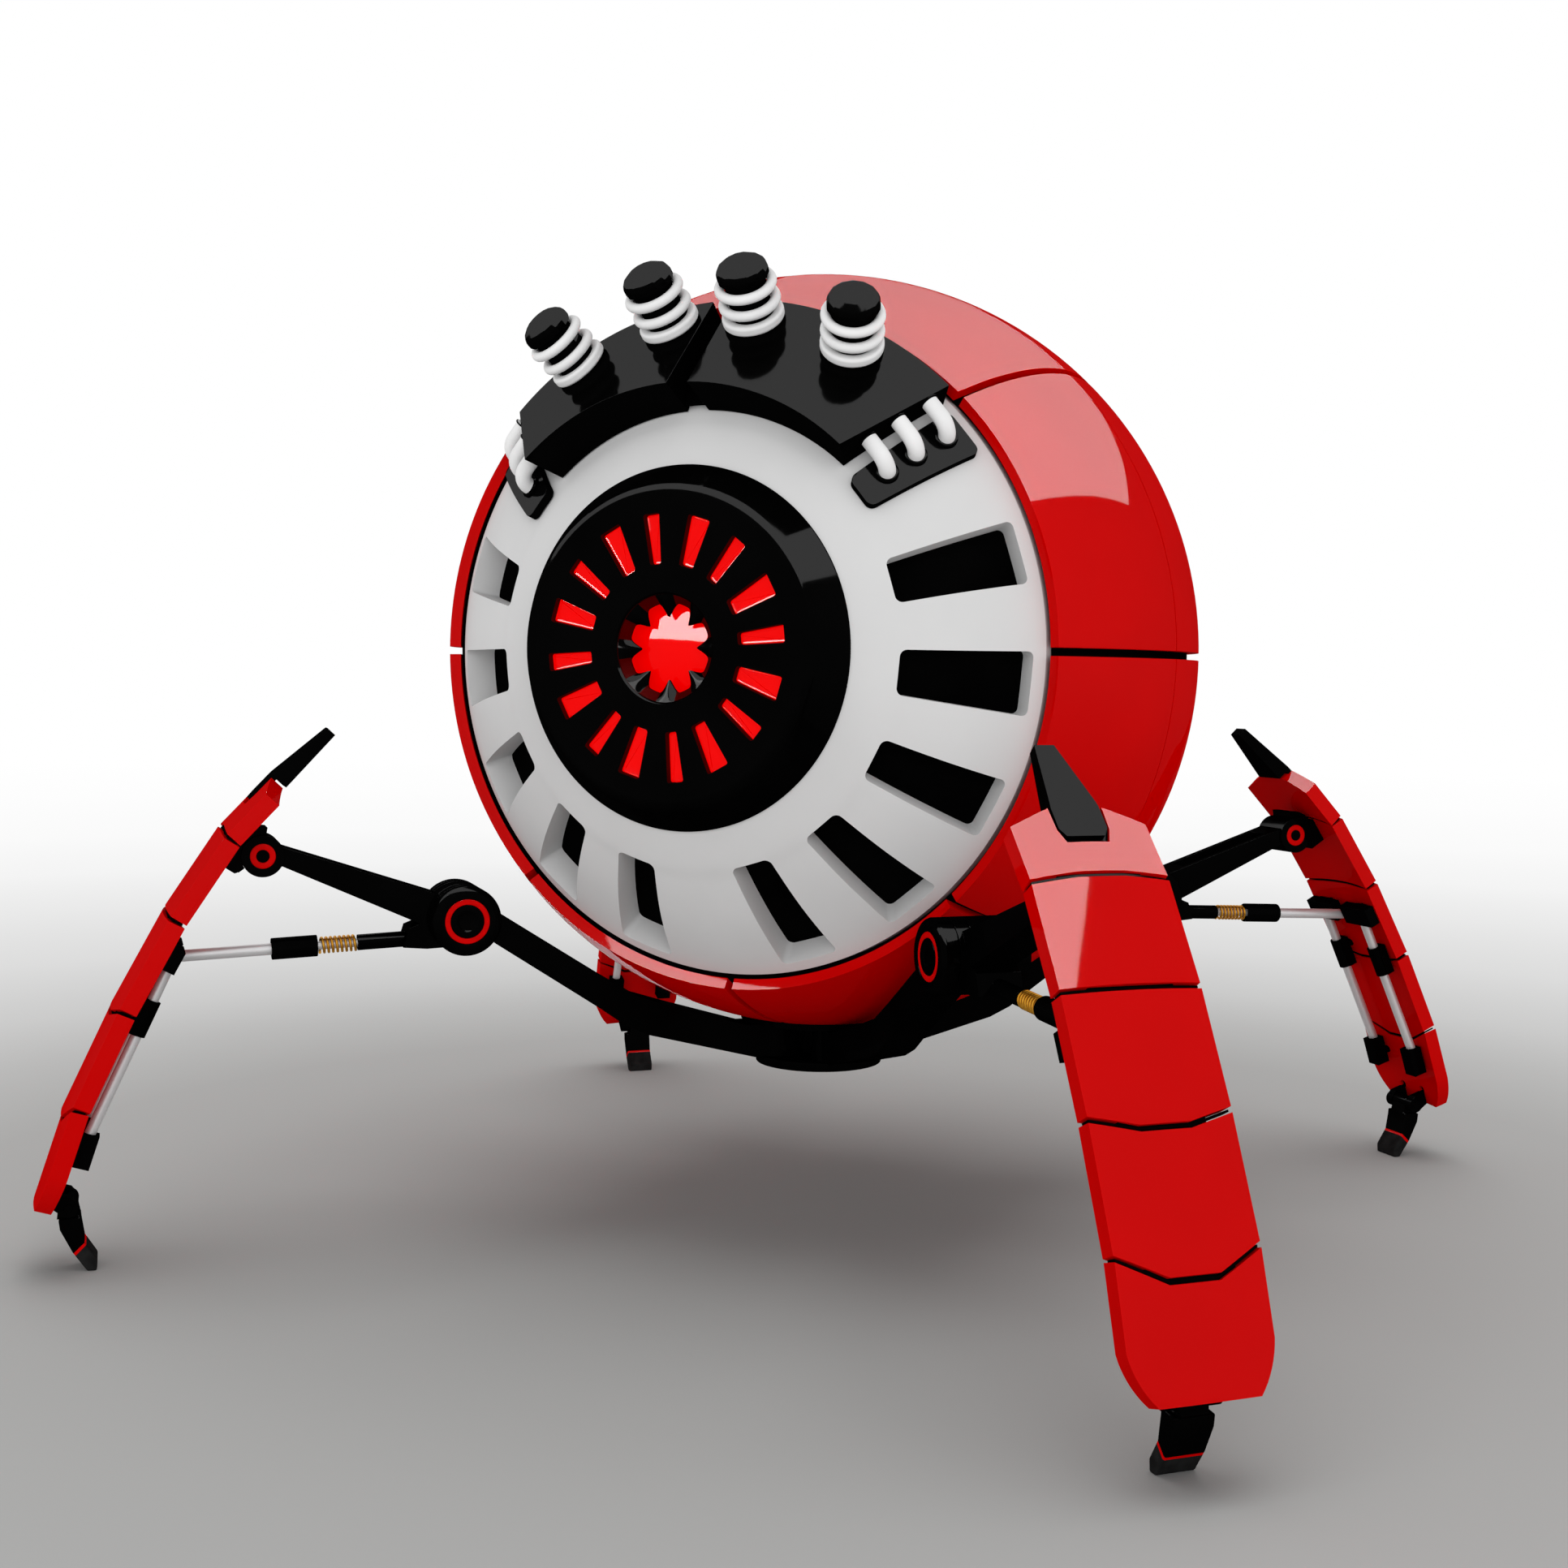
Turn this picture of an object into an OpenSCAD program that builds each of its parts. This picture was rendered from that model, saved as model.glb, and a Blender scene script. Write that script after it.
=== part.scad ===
// Walking robot: a round shell with one large eye, carried by four jointed legs.
// The face looks along -Y, Z is up and the feet stand on Z = 0. Sizes are in millimetres.

/* [Shell] */
// Radius of the round shell
shell_r = 120; // [114:1:146]
// Thickness of the shell panels
panel_t = 3.4; // [2.6:0.1:4.6]
// Gap between neighbouring shell panels
panel_gap = 2.4; // [1.2:0.1:4]
// Wall of the shell under the panels
core_wall = 3; // [2:0.1:5]
// Radius of the cap at the back
rear_cap_r = 40; // [30:1:55]

/* [Face] */
// Radius of the rim of the face
face_r = 96.4; // [80:0.1:98]
// Radius of the ball that the face is a part of
face_curve_r = 132; // [110:1:160]
// Thickness of the face
face_t = 9; // [6:0.5:11]
// Angle that one slot of the face takes
slot_angle = 11; // [6:0.5:15]
// Radius of the eye where it meets the face
eye_r = 51.6; // [43:0.1:58]
// How far the eye stands out from the face
eye_out = 11.7; // [9:0.1:16]
// Height of the posts over the face
post_h = 19.8; // [17:0.1:27]
// Outer radius of the rings on the posts
ring_r = 9; // [7.5:0.1:10.8]
// Diameter of the short hoses
hose_d = 4.8; // [3:0.1:6]

/* [Legs] */
// Distance of the hip shafts from the middle
hip_r = 15; // [14.4:0.1:18]
// Distance of the knees from the middle
knee_r = 118.3; // [104:0.1:142]
// Rise of the arm from hip to knee
arm_rise = 42.6; // [36:0.1:52]
// Width of the arm
arm_w = 12; // [9:0.1:14.5]
// Diameter of the knee
knee_d = 21.2; // [19:0.1:25]
// Length of the link from knee to shoulder
link_len = 62.7; // [53:0.1:75.3]
// Slope of the link
link_pitch = 19.1; // [15:0.1:23]
// Diameter of the shoulder
shoulder_d = 12.4; // [10.4:0.1:13]
// Number of curls of the shock spring
spring_curls = 8; // [5:1:9]
// Wire of the shock spring
spring_wire = 0.7; // [0.5:0.05:0.8]

/* [Shields] */
// Length of the shield of a lower leg
shield_len = 135.8; // [114:0.1:163]
// Width of the shield
shield_w = 36.4; // [33:0.1:43]
// Gap between neighbouring plates of the shield
plate_gap = 1.4; // [1.2:0.1:2]
// Length of the fin at the top of the shield
fin_len = 27; // [18:0.5:33]
// Height of the hinge of the claw above the ground
claw_h = 19.3; // [16:0.1:24]
// Width of the claw
claw_w = 10.2; // [8:0.1:12.2]

/* [Hidden] */
$fn = 64;
// gap between pieces that move past each other
clear = 0.3;
// gap between pieces that are fixed to each other
seat = 0.2;
// radial play of a shaft in its bore
fit = 0.05;
black = [0.06, 0.06, 0.06];
red = [0.78, 0, 0];
pale = [0.9, 0.9, 0.9];
steel = [0.7, 0.7, 0.72];

// shield: slope of each plate, share of the length, and how far each joint line dips in the middle
pitch = [46.5, 56.6, 61.7, 65.2, 72.1];
share = [0.1163, 0.2077, 0.2209, 0.2253, 0.2298];
dip = [0, -1, 0, 3, 5.9];
dip_half = 6.3;
plate_side = 5;
crown = 1.4;
hollow = 2;
spine_half = 11;
spine_lo = -2;
spine_hi = 0;
spine_play = 0.15;
shield_half = shield_w / 2;
plate_len = [for (s = share) s * shield_len];
crown_r = (shield_half * shield_half + crown * crown) / (2 * crown);
hollow_r = (shield_half * shield_half + hollow * hollow) / (2 * hollow);
inner_n = hollow - plate_side;

// joints of a leg as [distance from the middle, height]
shoulder_drop = 13.15;
hinge_n = -8.2;
hinge_up = 2.3;
hinge_z = hinge_up - plate_len[4];
shoulder_half = 7.2;
base_z4 = claw_h - hinge_n * cos(pitch[4]) - hinge_z * sin(pitch[4]);
base_z1 = base_z4 + plate_len[3] * sin(pitch[3]) + plate_len[2] * sin(pitch[2]) + plate_len[1] * sin(pitch[1]);
shoulder = [knee_r + link_len * cos(link_pitch), base_z1 - shoulder_drop * cos(pitch[1])];
knee_z = shoulder[1] - link_len * sin(link_pitch);
function down(k) = [cos(pitch[k]), -sin(pitch[k])];
function out(k) = [sin(pitch[k]), cos(pitch[k])];
base1 = shoulder + shoulder_drop * out(1);
base2 = base1 + plate_len[1] * down(1);
base3 = base2 + plate_len[2] * down(2);
base4 = base3 + plate_len[3] * down(3);
base = [base1 - plate_len[0] * down(0), base1, base2, base3, base4];
hinge = base4 + hinge_n * out(4) - hinge_z * down(4);

// hub, from the height of the hips
hip_z = knee_z - arm_rise;
knuckle_half = 5.35;
knuckle_r = 7.5;
hip_shaft_r = 3;
cover_t = 3;
cover_r = 20.6;
cover_top = hip_z - knuckle_half - clear;
flange_z = hip_z + knuckle_half + clear;
flange_r = 25.6;
flange_t = 11.3;
hub_r = 6.5;
shell_z = flange_z - 0.8 + shell_r;
shell_in = shell_r - panel_t;
core_r = shell_in - seat;
core_in = core_r - core_wall;
hub_hole_r = flange_r + 2 * seat;
ledge_r = flange_r + 8.4;
ledge_z = shell_z - sqrt(core_in * core_in - ledge_r * ledge_r) + clear;
ledge_t = 3.4;
motor_r = 8;
motor_len = 31;
motor_z = ledge_z + ledge_t;
tray_z = motor_z + motor_len + clear + 2.7;
board_post = 6;

// face, as distance from the axis of the eye and distance in front of the middle of the shell
rim_set = 2.3;
seam_h = 11;
seam_gap = 0.5;
open_h = sqrt(shell_in * shell_in - pow(face_r + 0.1, 2));
rim_h = open_h - rim_set;
face_c = rim_h - sqrt(face_curve_r * face_curve_r - face_r * face_r);
function face_h(rho) = face_c + sqrt(face_curve_r * face_curve_r - rho * rho);
core_h = sqrt(core_in * core_in - pow(face_r + seat, 2)) - 0.1;
rim_back = face_c + sqrt(pow(face_curve_r - face_t, 2) - face_r * face_r);
core_ring = 4;
tray = [110, 2 * (rim_back - seat - core_ring - clear), 3];
pack_edge = 1.4;
pack = [84, tray[1] / 2 - 2 * pack_edge, 28];
board_edge = 2.4;
board = [70, tray[1] / 2 - 2 * board_edge, 1.6];
board_y = board_edge - tray[1] / 2;
board_post_in = 4;
board_post_r = 2.5;
liner_t = 2;
slot_in = 0.667 * face_r;
slot_out = 0.978 * face_r;
slot_mid = (slot_in + slot_out) / 2;
slot_long = norm([slot_out - slot_in, face_h(slot_in) - face_h(slot_out)]);
slot_places = [73, 95.5, 118, 140.5, 163];
eye_hole_r = eye_r - 5.6;
eye_front_r = eye_r - 6.8;
eye_in_r = eye_front_r - 3.3;
eye_plate = 4;
eye_h = face_h(eye_r) + eye_out;
eye_back = face_h(eye_hole_r) - face_t - 1.2;
plate_h = eye_h - eye_plate;
lens_r = 17.2;
lens_rise = 4.5;
lens_h = plate_h - 3;
lens_curve = (lens_r * lens_r + lens_rise * lens_rise) / (2 * lens_rise);
led_h = plate_h - 11.6;
led_t = 1.6;
brow_in = 0.685 * face_r;
brow_out = 0.985 * face_r;
brow_top_in = [brow_in + 7.8, face_h(brow_in) + 12.5];
brow_top_out = [brow_out + 6.2, face_h(brow_out) + 7.2];
brow_end = 48;
brow_end_set = 7.1;
brow_split = 6.6;
brow_bridge = 5;
post_at = brow_top_in + 0.758 * (brow_top_out - brow_top_in);
post_tilt = atan2(brow_top_in[1] - brow_top_out[1], brow_top_out[0] - brow_top_in[0]);
post_places = [8.2, 27.6];
post_r = ring_r - 1.5;
post_cap = 6.2;
bead_r = 1.45;
bead_lift = 0.6;
stem_r = ring_r - 2 * bead_r - seat / 2;
collar_h = 2.9;
pad_from = 46;
pad_to = 55;
pad_t = 2.5;
hose_place = 50;
hose_rise = 3;
hose_bend = 4.5;
hose_places = [73.5, 81.2, 89.1];

// knee, link and shock
knee_rad = knee_d / 2;
tongue_half = 3.8;
cheek_in = tongue_half + clear;
cheek_out = 8;
knee_motor_r = knee_rad - 2.7;
knee_motor_half = cheek_out - 0.1;
knee_shaft_r = 1.5;
knee_shaft_half = 11;
cap_in = cheek_out + seat;
cap_out = 13.3;
knee_ring = [5.1, 6.8];
shoulder_r = shoulder_d / 2;
shoulder_ring = [1.9, 3.7];
ring_depth = 1.2;
link_half = 6.5;
notch_n = -8.2;
notch_z = -10.7;
shock_end = base2 + notch_n * out(2) - notch_z * down(2);
shock_drop = 5.55;
knee = [knee_r, knee_z];
shock_span = norm(shock_end - knee);
shock_pitch = -atan2(shock_end[1] - knee_z, shock_end[0] - knee_r) - asin(shock_drop / shock_span);
shock_len = sqrt(shock_span * shock_span - shock_drop * shock_drop);
stub_r = 2.4;
stub_len = 0.375 * shock_len;
spring_len = 0.1417 * shock_len;
spring_r = 2.2;
sleeve_at = stub_len + spring_len;
sleeve_len = 0.16 * shock_len;
sleeve_r = 3.25;
rod_r = 1.75;
guide_r = 1.3;
guide_in = 9;

// pieces on the inside of the shield
bar_half = shield_half - 0.7;
boss_r = 1.3;
boss_t = spine_half - 1.6;
rod_n = -7.8;
rod_t = 11;
shield_rod_r = 1.6;
pad_n = -4.9;
saddle_half = 5.6;
saddle_wall = 2.25;
saddle_from = -35;
saddle_to = 100;
pin_r = 1.2;
lug_in = 3.9;
lug_out = 7;
lug_r = 2.7;
knuckle_claw = 3.6;
bosses = [
    [1, -6, 0], [2, -9, boss_t], [2, -9, -boss_t], [3, 3, boss_t], [3, 3, -boss_t],
    [4, -11.5, boss_t], [4, -11.5, -boss_t], [4, hinge_z + 3.9, 5.4], [4, hinge_z + 3.9, -5.4]
];

leg_names = ["front_left", "front_right", "rear_right", "rear_left"];
leg_turns = [-135, -45, 45, 135];
leg_parts = [
    "hip_arm", "knee_motor", "knee_link", "knee_caps", "shock_spring",
    "shock_plunger", "shield_panels", "shield_frame", "shield_rods", "claw"
];
body_parts = [
    "hub_base", "hub_cover", "core_shell", "front_panels", "rear_panels", "rear_cap", "face_dome",
    "dome_liner", "eye_housing", "eye_diffuser", "eye_lens", "led_board", "brow_blocks", "knob_posts",
    "knob_rings", "hose_plates", "hoses", "hip_motors", "battery_pack", "control_board"
];

// frames: the face looks along local Z, a leg runs along local X, a plate of the shield hangs along -Z
module face_frame() {
    translate([0, 0, shell_z]) rotate([90, 0, 0]) children();
}

module at_leg(i) {
    rotate([0, 0, leg_turns[i]]) children();
}

module shield_at(k) {
    translate([base[k][0], 0, base[k][1]]) rotate([0, pitch[k] - 90, 0]) children();
}

module link_frame() {
    translate([knee_r, 0, knee_z]) rotate([0, -link_pitch, 0]) children();
}

module shock_frame() {
    translate([knee_r, 0, knee_z])
        rotate([0, shock_pitch, 0])
            translate([0, 0, -shock_drop])
                rotate([0, 90, 0]) children();
}

module both_sides() {
    children();
    mirror([1, 0, 0]) children();
}

// area between two distances and two heights
module area(x0, x1, y0, y1) {
    translate([x0, y0]) square([x1 - x0, y1 - y0]);
}

module shell_area(r_out, r_in, h0, h1) {
    intersection() {
        difference() {
            circle(r_out);
            circle(r_in);
        }
        area(0, r_out + 1, h0, h1);
    }
}

// upright outline of a leg piece, as wide as two halves
module slab(half) {
    rotate([90, 0, 0]) linear_extrude(2 * half, center = true) children();
}

module cross_bar(at, rad, half) {
    translate([at[0], 0, at[1]]) rotate([90, 0, 0]) cylinder(r = rad, h = 2 * half, center = true);
}

module tube_area(r_in, r_out) {
    difference() {
        circle(r_out);
        circle(r_in);
    }
}

// body

module hub_hole() {
    translate([0, 0, flange_z - 10]) cylinder(r = hub_hole_r, h = 40);
}

module hip_bores() {
    for (turn = leg_turns)
        rotate([0, 0, turn])
            translate([hip_r, 0, cover_top - cover_t + 0.8])
                cylinder(r = hip_shaft_r + fit, h = motor_z - cover_top + cover_t);
}

module hub_base() {
    color(black) {
        difference() {
            union() {
                translate([0, 0, cover_top + seat / 2]) cylinder(r = hub_r, h = tray_z - cover_top);
                translate([0, 0, flange_z]) cylinder(r = flange_r, h = flange_t);
                translate([0, 0, ledge_z]) cylinder(r = ledge_r, h = ledge_t);
                translate([-tray[0] / 2, -tray[1] / 2, tray_z]) cube(tray);
                for (x = [board_post_in, board[0] - board_post_in])
                    for (y = [board_post_in, board[1] - board_post_in])
                        translate([x - board[0] / 2, y + board_y, tray_z + 1])
                            cylinder(r = board_post_r, h = tray[2] + board_post - 1);
            }
            hip_bores();
        }
    }
}

module hub_cover() {
    color(black) {
        difference() {
            translate([0, 0, cover_top - cover_t]) cylinder(r = cover_r, h = cover_t);
            hip_bores();
        }
    }
}

module core_shell() {
    color(black) {
        difference() {
            face_frame() {
                rotate_extrude() {
                    shell_area(core_r, core_in, -core_r - 1, core_h);
                    intersection() {
                        area(face_r - 10, core_r, rim_back - seat - core_ring, rim_back - seat);
                        circle(core_r - core_wall / 2);
                    }
                }
            }
            hub_hole();
        }
    }
}

module panel_cuts() {
    for (k = [0:3])
        rotate([0, 0, 45 * k]) cube([panel_gap, 3 * shell_r, 3 * shell_r], center = true);
}

module front_panels() {
    color(red) {
        difference() {
            face_frame() {
                difference() {
                    rotate_extrude() shell_area(shell_r, shell_in, seam_h + seam_gap / 2, open_h);
                    panel_cuts();
                }
            }
            hub_hole();
        }
    }
}

module rear_panels() {
    color(red) {
        difference() {
            face_frame() {
                difference() {
                    rotate_extrude() {
                        difference() {
                            shell_area(shell_r, shell_in, -shell_r - 1, seam_h - seam_gap / 2);
                            area(-1, rear_cap_r + panel_gap, -shell_r - 2, 0);
                        }
                    }
                    panel_cuts();
                }
            }
            hub_hole();
        }
    }
}

module rear_cap() {
    color(red) {
        face_frame() {
            rotate_extrude() {
                intersection() {
                    shell_area(shell_r, shell_in, -shell_r - 1, 0);
                    area(0, rear_cap_r, -shell_r - 2, 0);
                }
            }
        }
    }
}

module face_slot() {
    half_in = slot_in * sin(slot_angle / 2);
    half_out = slot_out * sin(slot_angle / 2);
    translate([slot_mid, 0, face_h(slot_mid)]) {
        rotate([0, asin(slot_mid / face_curve_r), 0]) {
            translate([0, 0, -2 * face_t]) {
                linear_extrude(3 * face_t) {
                    polygon([
                        [-slot_long / 2, -half_in], [slot_long / 2, -half_out],
                        [slot_long / 2, half_out], [-slot_long / 2, half_in]
                    ]);
                }
            }
        }
    }
}

module bowl_area(r_out, thick, rho0, rho1) {
    intersection() {
        translate([0, face_c]) tube_area(r_out - thick, r_out);
        area(rho0, rho1, max(0, face_c), face_c + r_out + 1);
    }
}

module face_dome() {
    color(pale) {
        face_frame() {
            difference() {
                rotate_extrude() bowl_area(face_curve_r, face_t, eye_hole_r, face_r);
                for (place = slot_places)
                    both_sides() rotate([0, 0, 90 - place]) face_slot();
            }
        }
    }
}

module dome_liner() {
    color(black) {
        face_frame() {
            rotate_extrude() {
                bowl_area(face_curve_r - face_t - seat, liner_t, eye_hole_r + seat, face_r - 3.6);
            }
        }
    }
}

module eye_slots() {
    for (k = [0:7]) {
        rotate([0, 0, 90 - 17.2 - 45 * k]) eye_slot(2.2, 3.5);
        rotate([0, 0, 90 + 6.3 - 45 * k]) eye_slot(1.7, 2.55);
    }
}

module eye_slot(half_in, half_out) {
    r_in = 0.518 * eye_front_r;
    r_out = 0.833 * eye_front_r;
    polygon([[r_in, -half_in], [r_out, -half_out], [r_out, half_out], [r_in, half_in]]);
}

module eye_star() {
    difference() {
        circle(15);
        for (k = [0:7])
            rotate([0, 0, 90 - 6 - 45 * k]) polygon([[9.6, -0.9], [16, -3.6], [16, 3.6], [9.6, 0.9]]);
    }
}

module eye_housing() {
    low = face_h(eye_r);
    spigot_r = eye_hole_r - seat;
    color(black) {
        face_frame() {
            difference() {
                rotate_extrude() {
                    difference() {
                        polygon([
                            [eye_in_r, eye_back], [spigot_r, eye_back], [spigot_r, low - 1],
                            [eye_r, low - 1], [eye_r, low + 0.8], [eye_front_r, eye_h],
                            [0, eye_h], [0, plate_h], [eye_in_r, plate_h]
                        ]);
                        intersection() {
                            translate([0, face_c]) circle(face_curve_r + seat);
                            area(spigot_r, eye_r + 2, 0, eye_h + 9);
                        }
                    }
                }
                translate([0, 0, plate_h - 1]) {
                    linear_extrude(eye_plate + 2) {
                        eye_slots();
                        eye_star();
                    }
                }
            }
        }
    }
}

module eye_diffuser() {
    color(red) {
        face_frame() {
            rotate_extrude() area(lens_r + clear, eye_in_r - seat, plate_h - 2.8, plate_h - seat);
        }
    }
}

module eye_lens() {
    color(red) {
        face_frame() {
            rotate_extrude() {
                intersection() {
                    translate([0, lens_h - lens_curve]) circle(lens_curve);
                    area(0, lens_r, led_h + seat / 2, lens_h + 1);
                }
            }
        }
    }
}

module led_board() {
    color([0.1, 0.25, 0.12]) {
        face_frame() translate([0, 0, led_h - led_t]) cylinder(r = eye_in_r - seat, h = led_t);
    }
}

module brow_area() {
    difference() {
        polygon([
            [brow_in, face_h(brow_in) - 4], brow_top_in, brow_top_out,
            [brow_out - 3.6, face_h(brow_out) - 4.7]
        ]);
        translate([0, face_c]) circle(face_curve_r + seat);
    }
}

module brow_blocks() {
    color(black) {
        face_frame() {
            both_sides() {
                difference() {
                    rotate([0, 0, 90 - brow_end]) rotate_extrude(angle = brow_end + 2) brow_area();
                    translate([-20, 0, 0]) cube([20 + brow_split / 2, 2 * face_r, 2 * shell_r]);
                    rotate([0, 0, 90 - brow_end])
                        translate([0, -1, 0]) cube([2 * face_r, 1 + brow_end_set, 2 * shell_r]);
                }
            }
            rotate([0, 0, 90 - brow_bridge]) {
                rotate_extrude(angle = 2 * brow_bridge)
                    bowl_area(face_curve_r + seat + pad_t, pad_t, brow_in + 2, brow_out - 0.6);
            }
        }
    }
}

module each_post() {
    face_frame() {
        both_sides() {
            for (place = post_places) {
                rotate([0, 0, 90 - place])
                    translate([post_at[0], 0, post_at[1]])
                        rotate([0, post_tilt, 0])
                            translate([0, 0, seat / 2]) children();
            }
        }
    }
}

module knob_posts() {
    color(black) {
        each_post() {
            rotate_extrude() {
                polygon([
                    [0, 0], [stem_r, 0], [stem_r, post_h - post_cap], [post_r, post_h - post_cap + 0.6],
                    [post_r, post_h - 4], [0.62 * post_r, post_h - 0.6], [0, post_h]
                ]);
            }
        }
    }
}

module knob_rings() {
    bead_step = (post_h - post_cap - collar_h) / 2;
    color(pale) {
        each_post() {
            rotate_extrude() area(stem_r + seat / 2, ring_r, 0, collar_h);
            for (k = [0, 1]) {
                translate([0, 0, collar_h + (k + bead_lift) * bead_step])
                    rotate_extrude() translate([ring_r - bead_r, 0]) circle(bead_r);
            }
        }
    }
}

module hose_plates() {
    color(black) {
        face_frame() {
            both_sides() {
                rotate([0, 0, 90 - pad_to]) {
                    rotate_extrude(angle = pad_to - pad_from)
                        bowl_area(face_curve_r + seat + pad_t, pad_t, brow_in, brow_out - 0.6);
                }
            }
        }
    }
}

// one hose rises from its pad, bends over and ends at the brow
module hose(rho) {
    reach = brow_end_set + rho * sin(hose_place - brow_end) - 0.1;
    rise = pad_t + seat + 0.1;
    translate([0, 0, rise]) cylinder(d = hose_d, h = hose_rise - rise + 0.01);
    translate([0, hose_bend, hose_rise]) {
        rotate([90, 0, -90]) {
            rotate_extrude(angle = 90) translate([hose_bend, 0]) circle(d = hose_d);
        }
    }
    translate([0, hose_bend - 0.01, hose_rise + hose_bend])
        rotate([-90, 0, 0]) cylinder(d = hose_d, h = reach - hose_bend);
}

module hoses() {
    color(pale) {
        face_frame() {
            both_sides() {
                for (place = hose_places) {
                    rho = place / 96.4 * face_r;
                    rotate([0, 0, 90 - hose_place])
                        translate([rho, 0, face_h(rho)])
                            rotate([0, asin(rho / face_curve_r), 0]) hose(rho);
                }
            }
        }
    }
}

module hip_motors() {
    color(steel) {
        for (turn = leg_turns)
            rotate([0, 0, turn])
                translate([hip_r, 0, motor_z + seat / 2]) cylinder(r = motor_r - 0.1, h = motor_len);
    }
}

module battery_pack() {
    color([0.1, 0.2, 0.5]) translate([-pack[0] / 2, pack_edge, tray_z + tray[2] + seat / 2]) cube(pack);
}

module control_board() {
    color([0.1, 0.25, 0.12]) {
        translate([-board[0] / 2, board_y, tray_z + tray[2] + board_post + seat / 2]) cube(board);
    }
}

// legs, drawn along local X

function arm_at(f, g) = [hip_r + f * (knee_r - hip_r), hip_z + g * arm_rise];

module arm_area() {
    polygon([
        [hip_r, hip_z - knuckle_half], [hip_r + 9, hip_z - knuckle_half], arm_at(0.43, 0.086),
        arm_at(0.5, 0.161), arm_at(0.589, 0.311), arm_at(0.904, 0.812), [knee_r, knee_z],
        arm_at(0.881, 1.016), arm_at(0.569, 0.531), arm_at(0.465, 0.379), arm_at(0.348, 0.29),
        [hip_r + 12, hip_z + knuckle_half], [hip_r, hip_z + knuckle_half]
    ]);
}

module hip_arm() {
    shaft_z = cover_top - cover_t + 0.8 + seat;
    color(black) {
        difference() {
            union() {
                translate([hip_r, 0, hip_z - knuckle_half]) cylinder(r = knuckle_r, h = 2 * knuckle_half);
                translate([hip_r, 0, shaft_z]) cylinder(r = hip_shaft_r, h = motor_z - seat - shaft_z);
                difference() {
                    slab(arm_w / 2) arm_area();
                    cross_bar(knee, knee_rad + 1.5 * clear, arm_w);
                }
                slab(tongue_half) {
                    intersection() {
                        arm_area();
                        translate(knee) circle(knee_rad + 6);
                    }
                    translate(knee) circle(knee_rad);
                }
            }
            cross_bar(knee, knee_motor_r + fit, arm_w);
        }
    }
}

module knee_motor() {
    color(steel) {
        cross_bar(knee, knee_motor_r, knee_motor_half);
        cross_bar(knee, knee_shaft_r, knee_shaft_half);
    }
}

module link_bar() {
    link_frame() {
        slab(link_half) {
            polygon([
                [0, -5.6], [13.7, -5.15], [link_len - 6.3, -1.2], [link_len, -2],
                [link_len, 4], [link_len - 4.5, 4.2], [0, 4.9]
            ]);
        }
    }
}

module link_channel() {
    link_frame() {
        slab(link_half - 2.1) {
            polygon([[18, -2.2], [link_len - 10.5, 0.9], [link_len - 10.5, 8], [18, 8]]);
        }
    }
}

module link_root() {
    shock_frame() {
        rotate([0, -90, 0]) {
            slab(link_half) {
                polygon([
                    [0, -stub_r - 0.3], [knee_rad + 1, -stub_r - 0.3], [knee_rad + 8, -stub_r + 0.6],
                    [knee_rad + 6, stub_r + 1.5], [knee_rad, 6], [0, 6]
                ]);
            }
        }
    }
}

module knee_link() {
    color(black) {
        difference() {
            union() {
                for (s = [-1, 1])
                    translate([0, s * (cheek_in + cheek_out) / 2, 0])
                        cross_bar(knee, knee_rad, (cheek_out - cheek_in) / 2);
                difference() {
                    union() {
                        link_bar();
                        link_root();
                        shock_frame() cylinder(r = stub_r, h = stub_len);
                    }
                    cross_bar(knee, knee_rad + clear, cheek_in + 0.4);
                    link_channel();
                }
                cross_bar(shoulder, shoulder_r, shoulder_half);
            }
            cross_bar(knee, knee_motor_r + fit, cap_out);
            shock_frame() translate([0, 0, stub_len - guide_in - 5]) cylinder(r = guide_r + fit, h = 20);
            for (s = [-1, 1])
                translate([shoulder[0], s * shoulder_half, shoulder[1]])
                    rotate([90, 0, 0])
                        linear_extrude(2 * ring_depth, center = true)
                            tube_area(shoulder_ring[0] - fit, shoulder_ring[1] + fit);
        }
    }
}

module cap_area() {
    difference() {
        area(knee_shaft_r + fit, knee_rad, cap_in, cap_out);
        area(knee_ring[0] - fit, knee_ring[1] + fit, cap_out - ring_depth, cap_out + 1);
    }
    area(0, knee_shaft_r + fit + 0.1, knee_shaft_half + clear, cap_out);
}

module knee_caps() {
    for (s = [0, 1]) {
        mirror([0, s, 0]) {
            translate([knee_r, 0, knee_z]) {
                rotate([-90, 0, 0]) {
                    color(black) rotate_extrude() cap_area();
                    color(red)
                        rotate_extrude()
                            area(knee_ring[0], knee_ring[1], cap_out - ring_depth + fit, cap_out - seat);
                }
            }
            color(red) {
                translate([shoulder[0], 0, shoulder[1]])
                    rotate([-90, 0, 0])
                        rotate_extrude()
                            area(
                                shoulder_ring[0], shoulder_ring[1],
                                shoulder_half - ring_depth + fit, shoulder_half - seat
                            );
            }
        }
    }
}

// shock spring: one wire with its two ends standing on the stub and on the sleeve
curl_steps = 8;
wire_sides = 6;
spring_free = spring_len - seat;
curl_rise = (spring_free - 2 * spring_wire) / spring_curls;
curl_count = curl_steps * spring_curls;

function curl(i) =
    let (a = 360 * i / curl_steps)
    [spring_r * cos(a), spring_r * sin(a), spring_wire + i * curl_rise / curl_steps];

function flat(p, z) = [p[0], p[1], z];

wire_path = concat(
    [flat(curl(0), 0)],
    [for (i = [0:curl_count]) curl(i)],
    [flat(curl(curl_count), spring_free)]
);

function unit(v) = v / norm(v);

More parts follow.
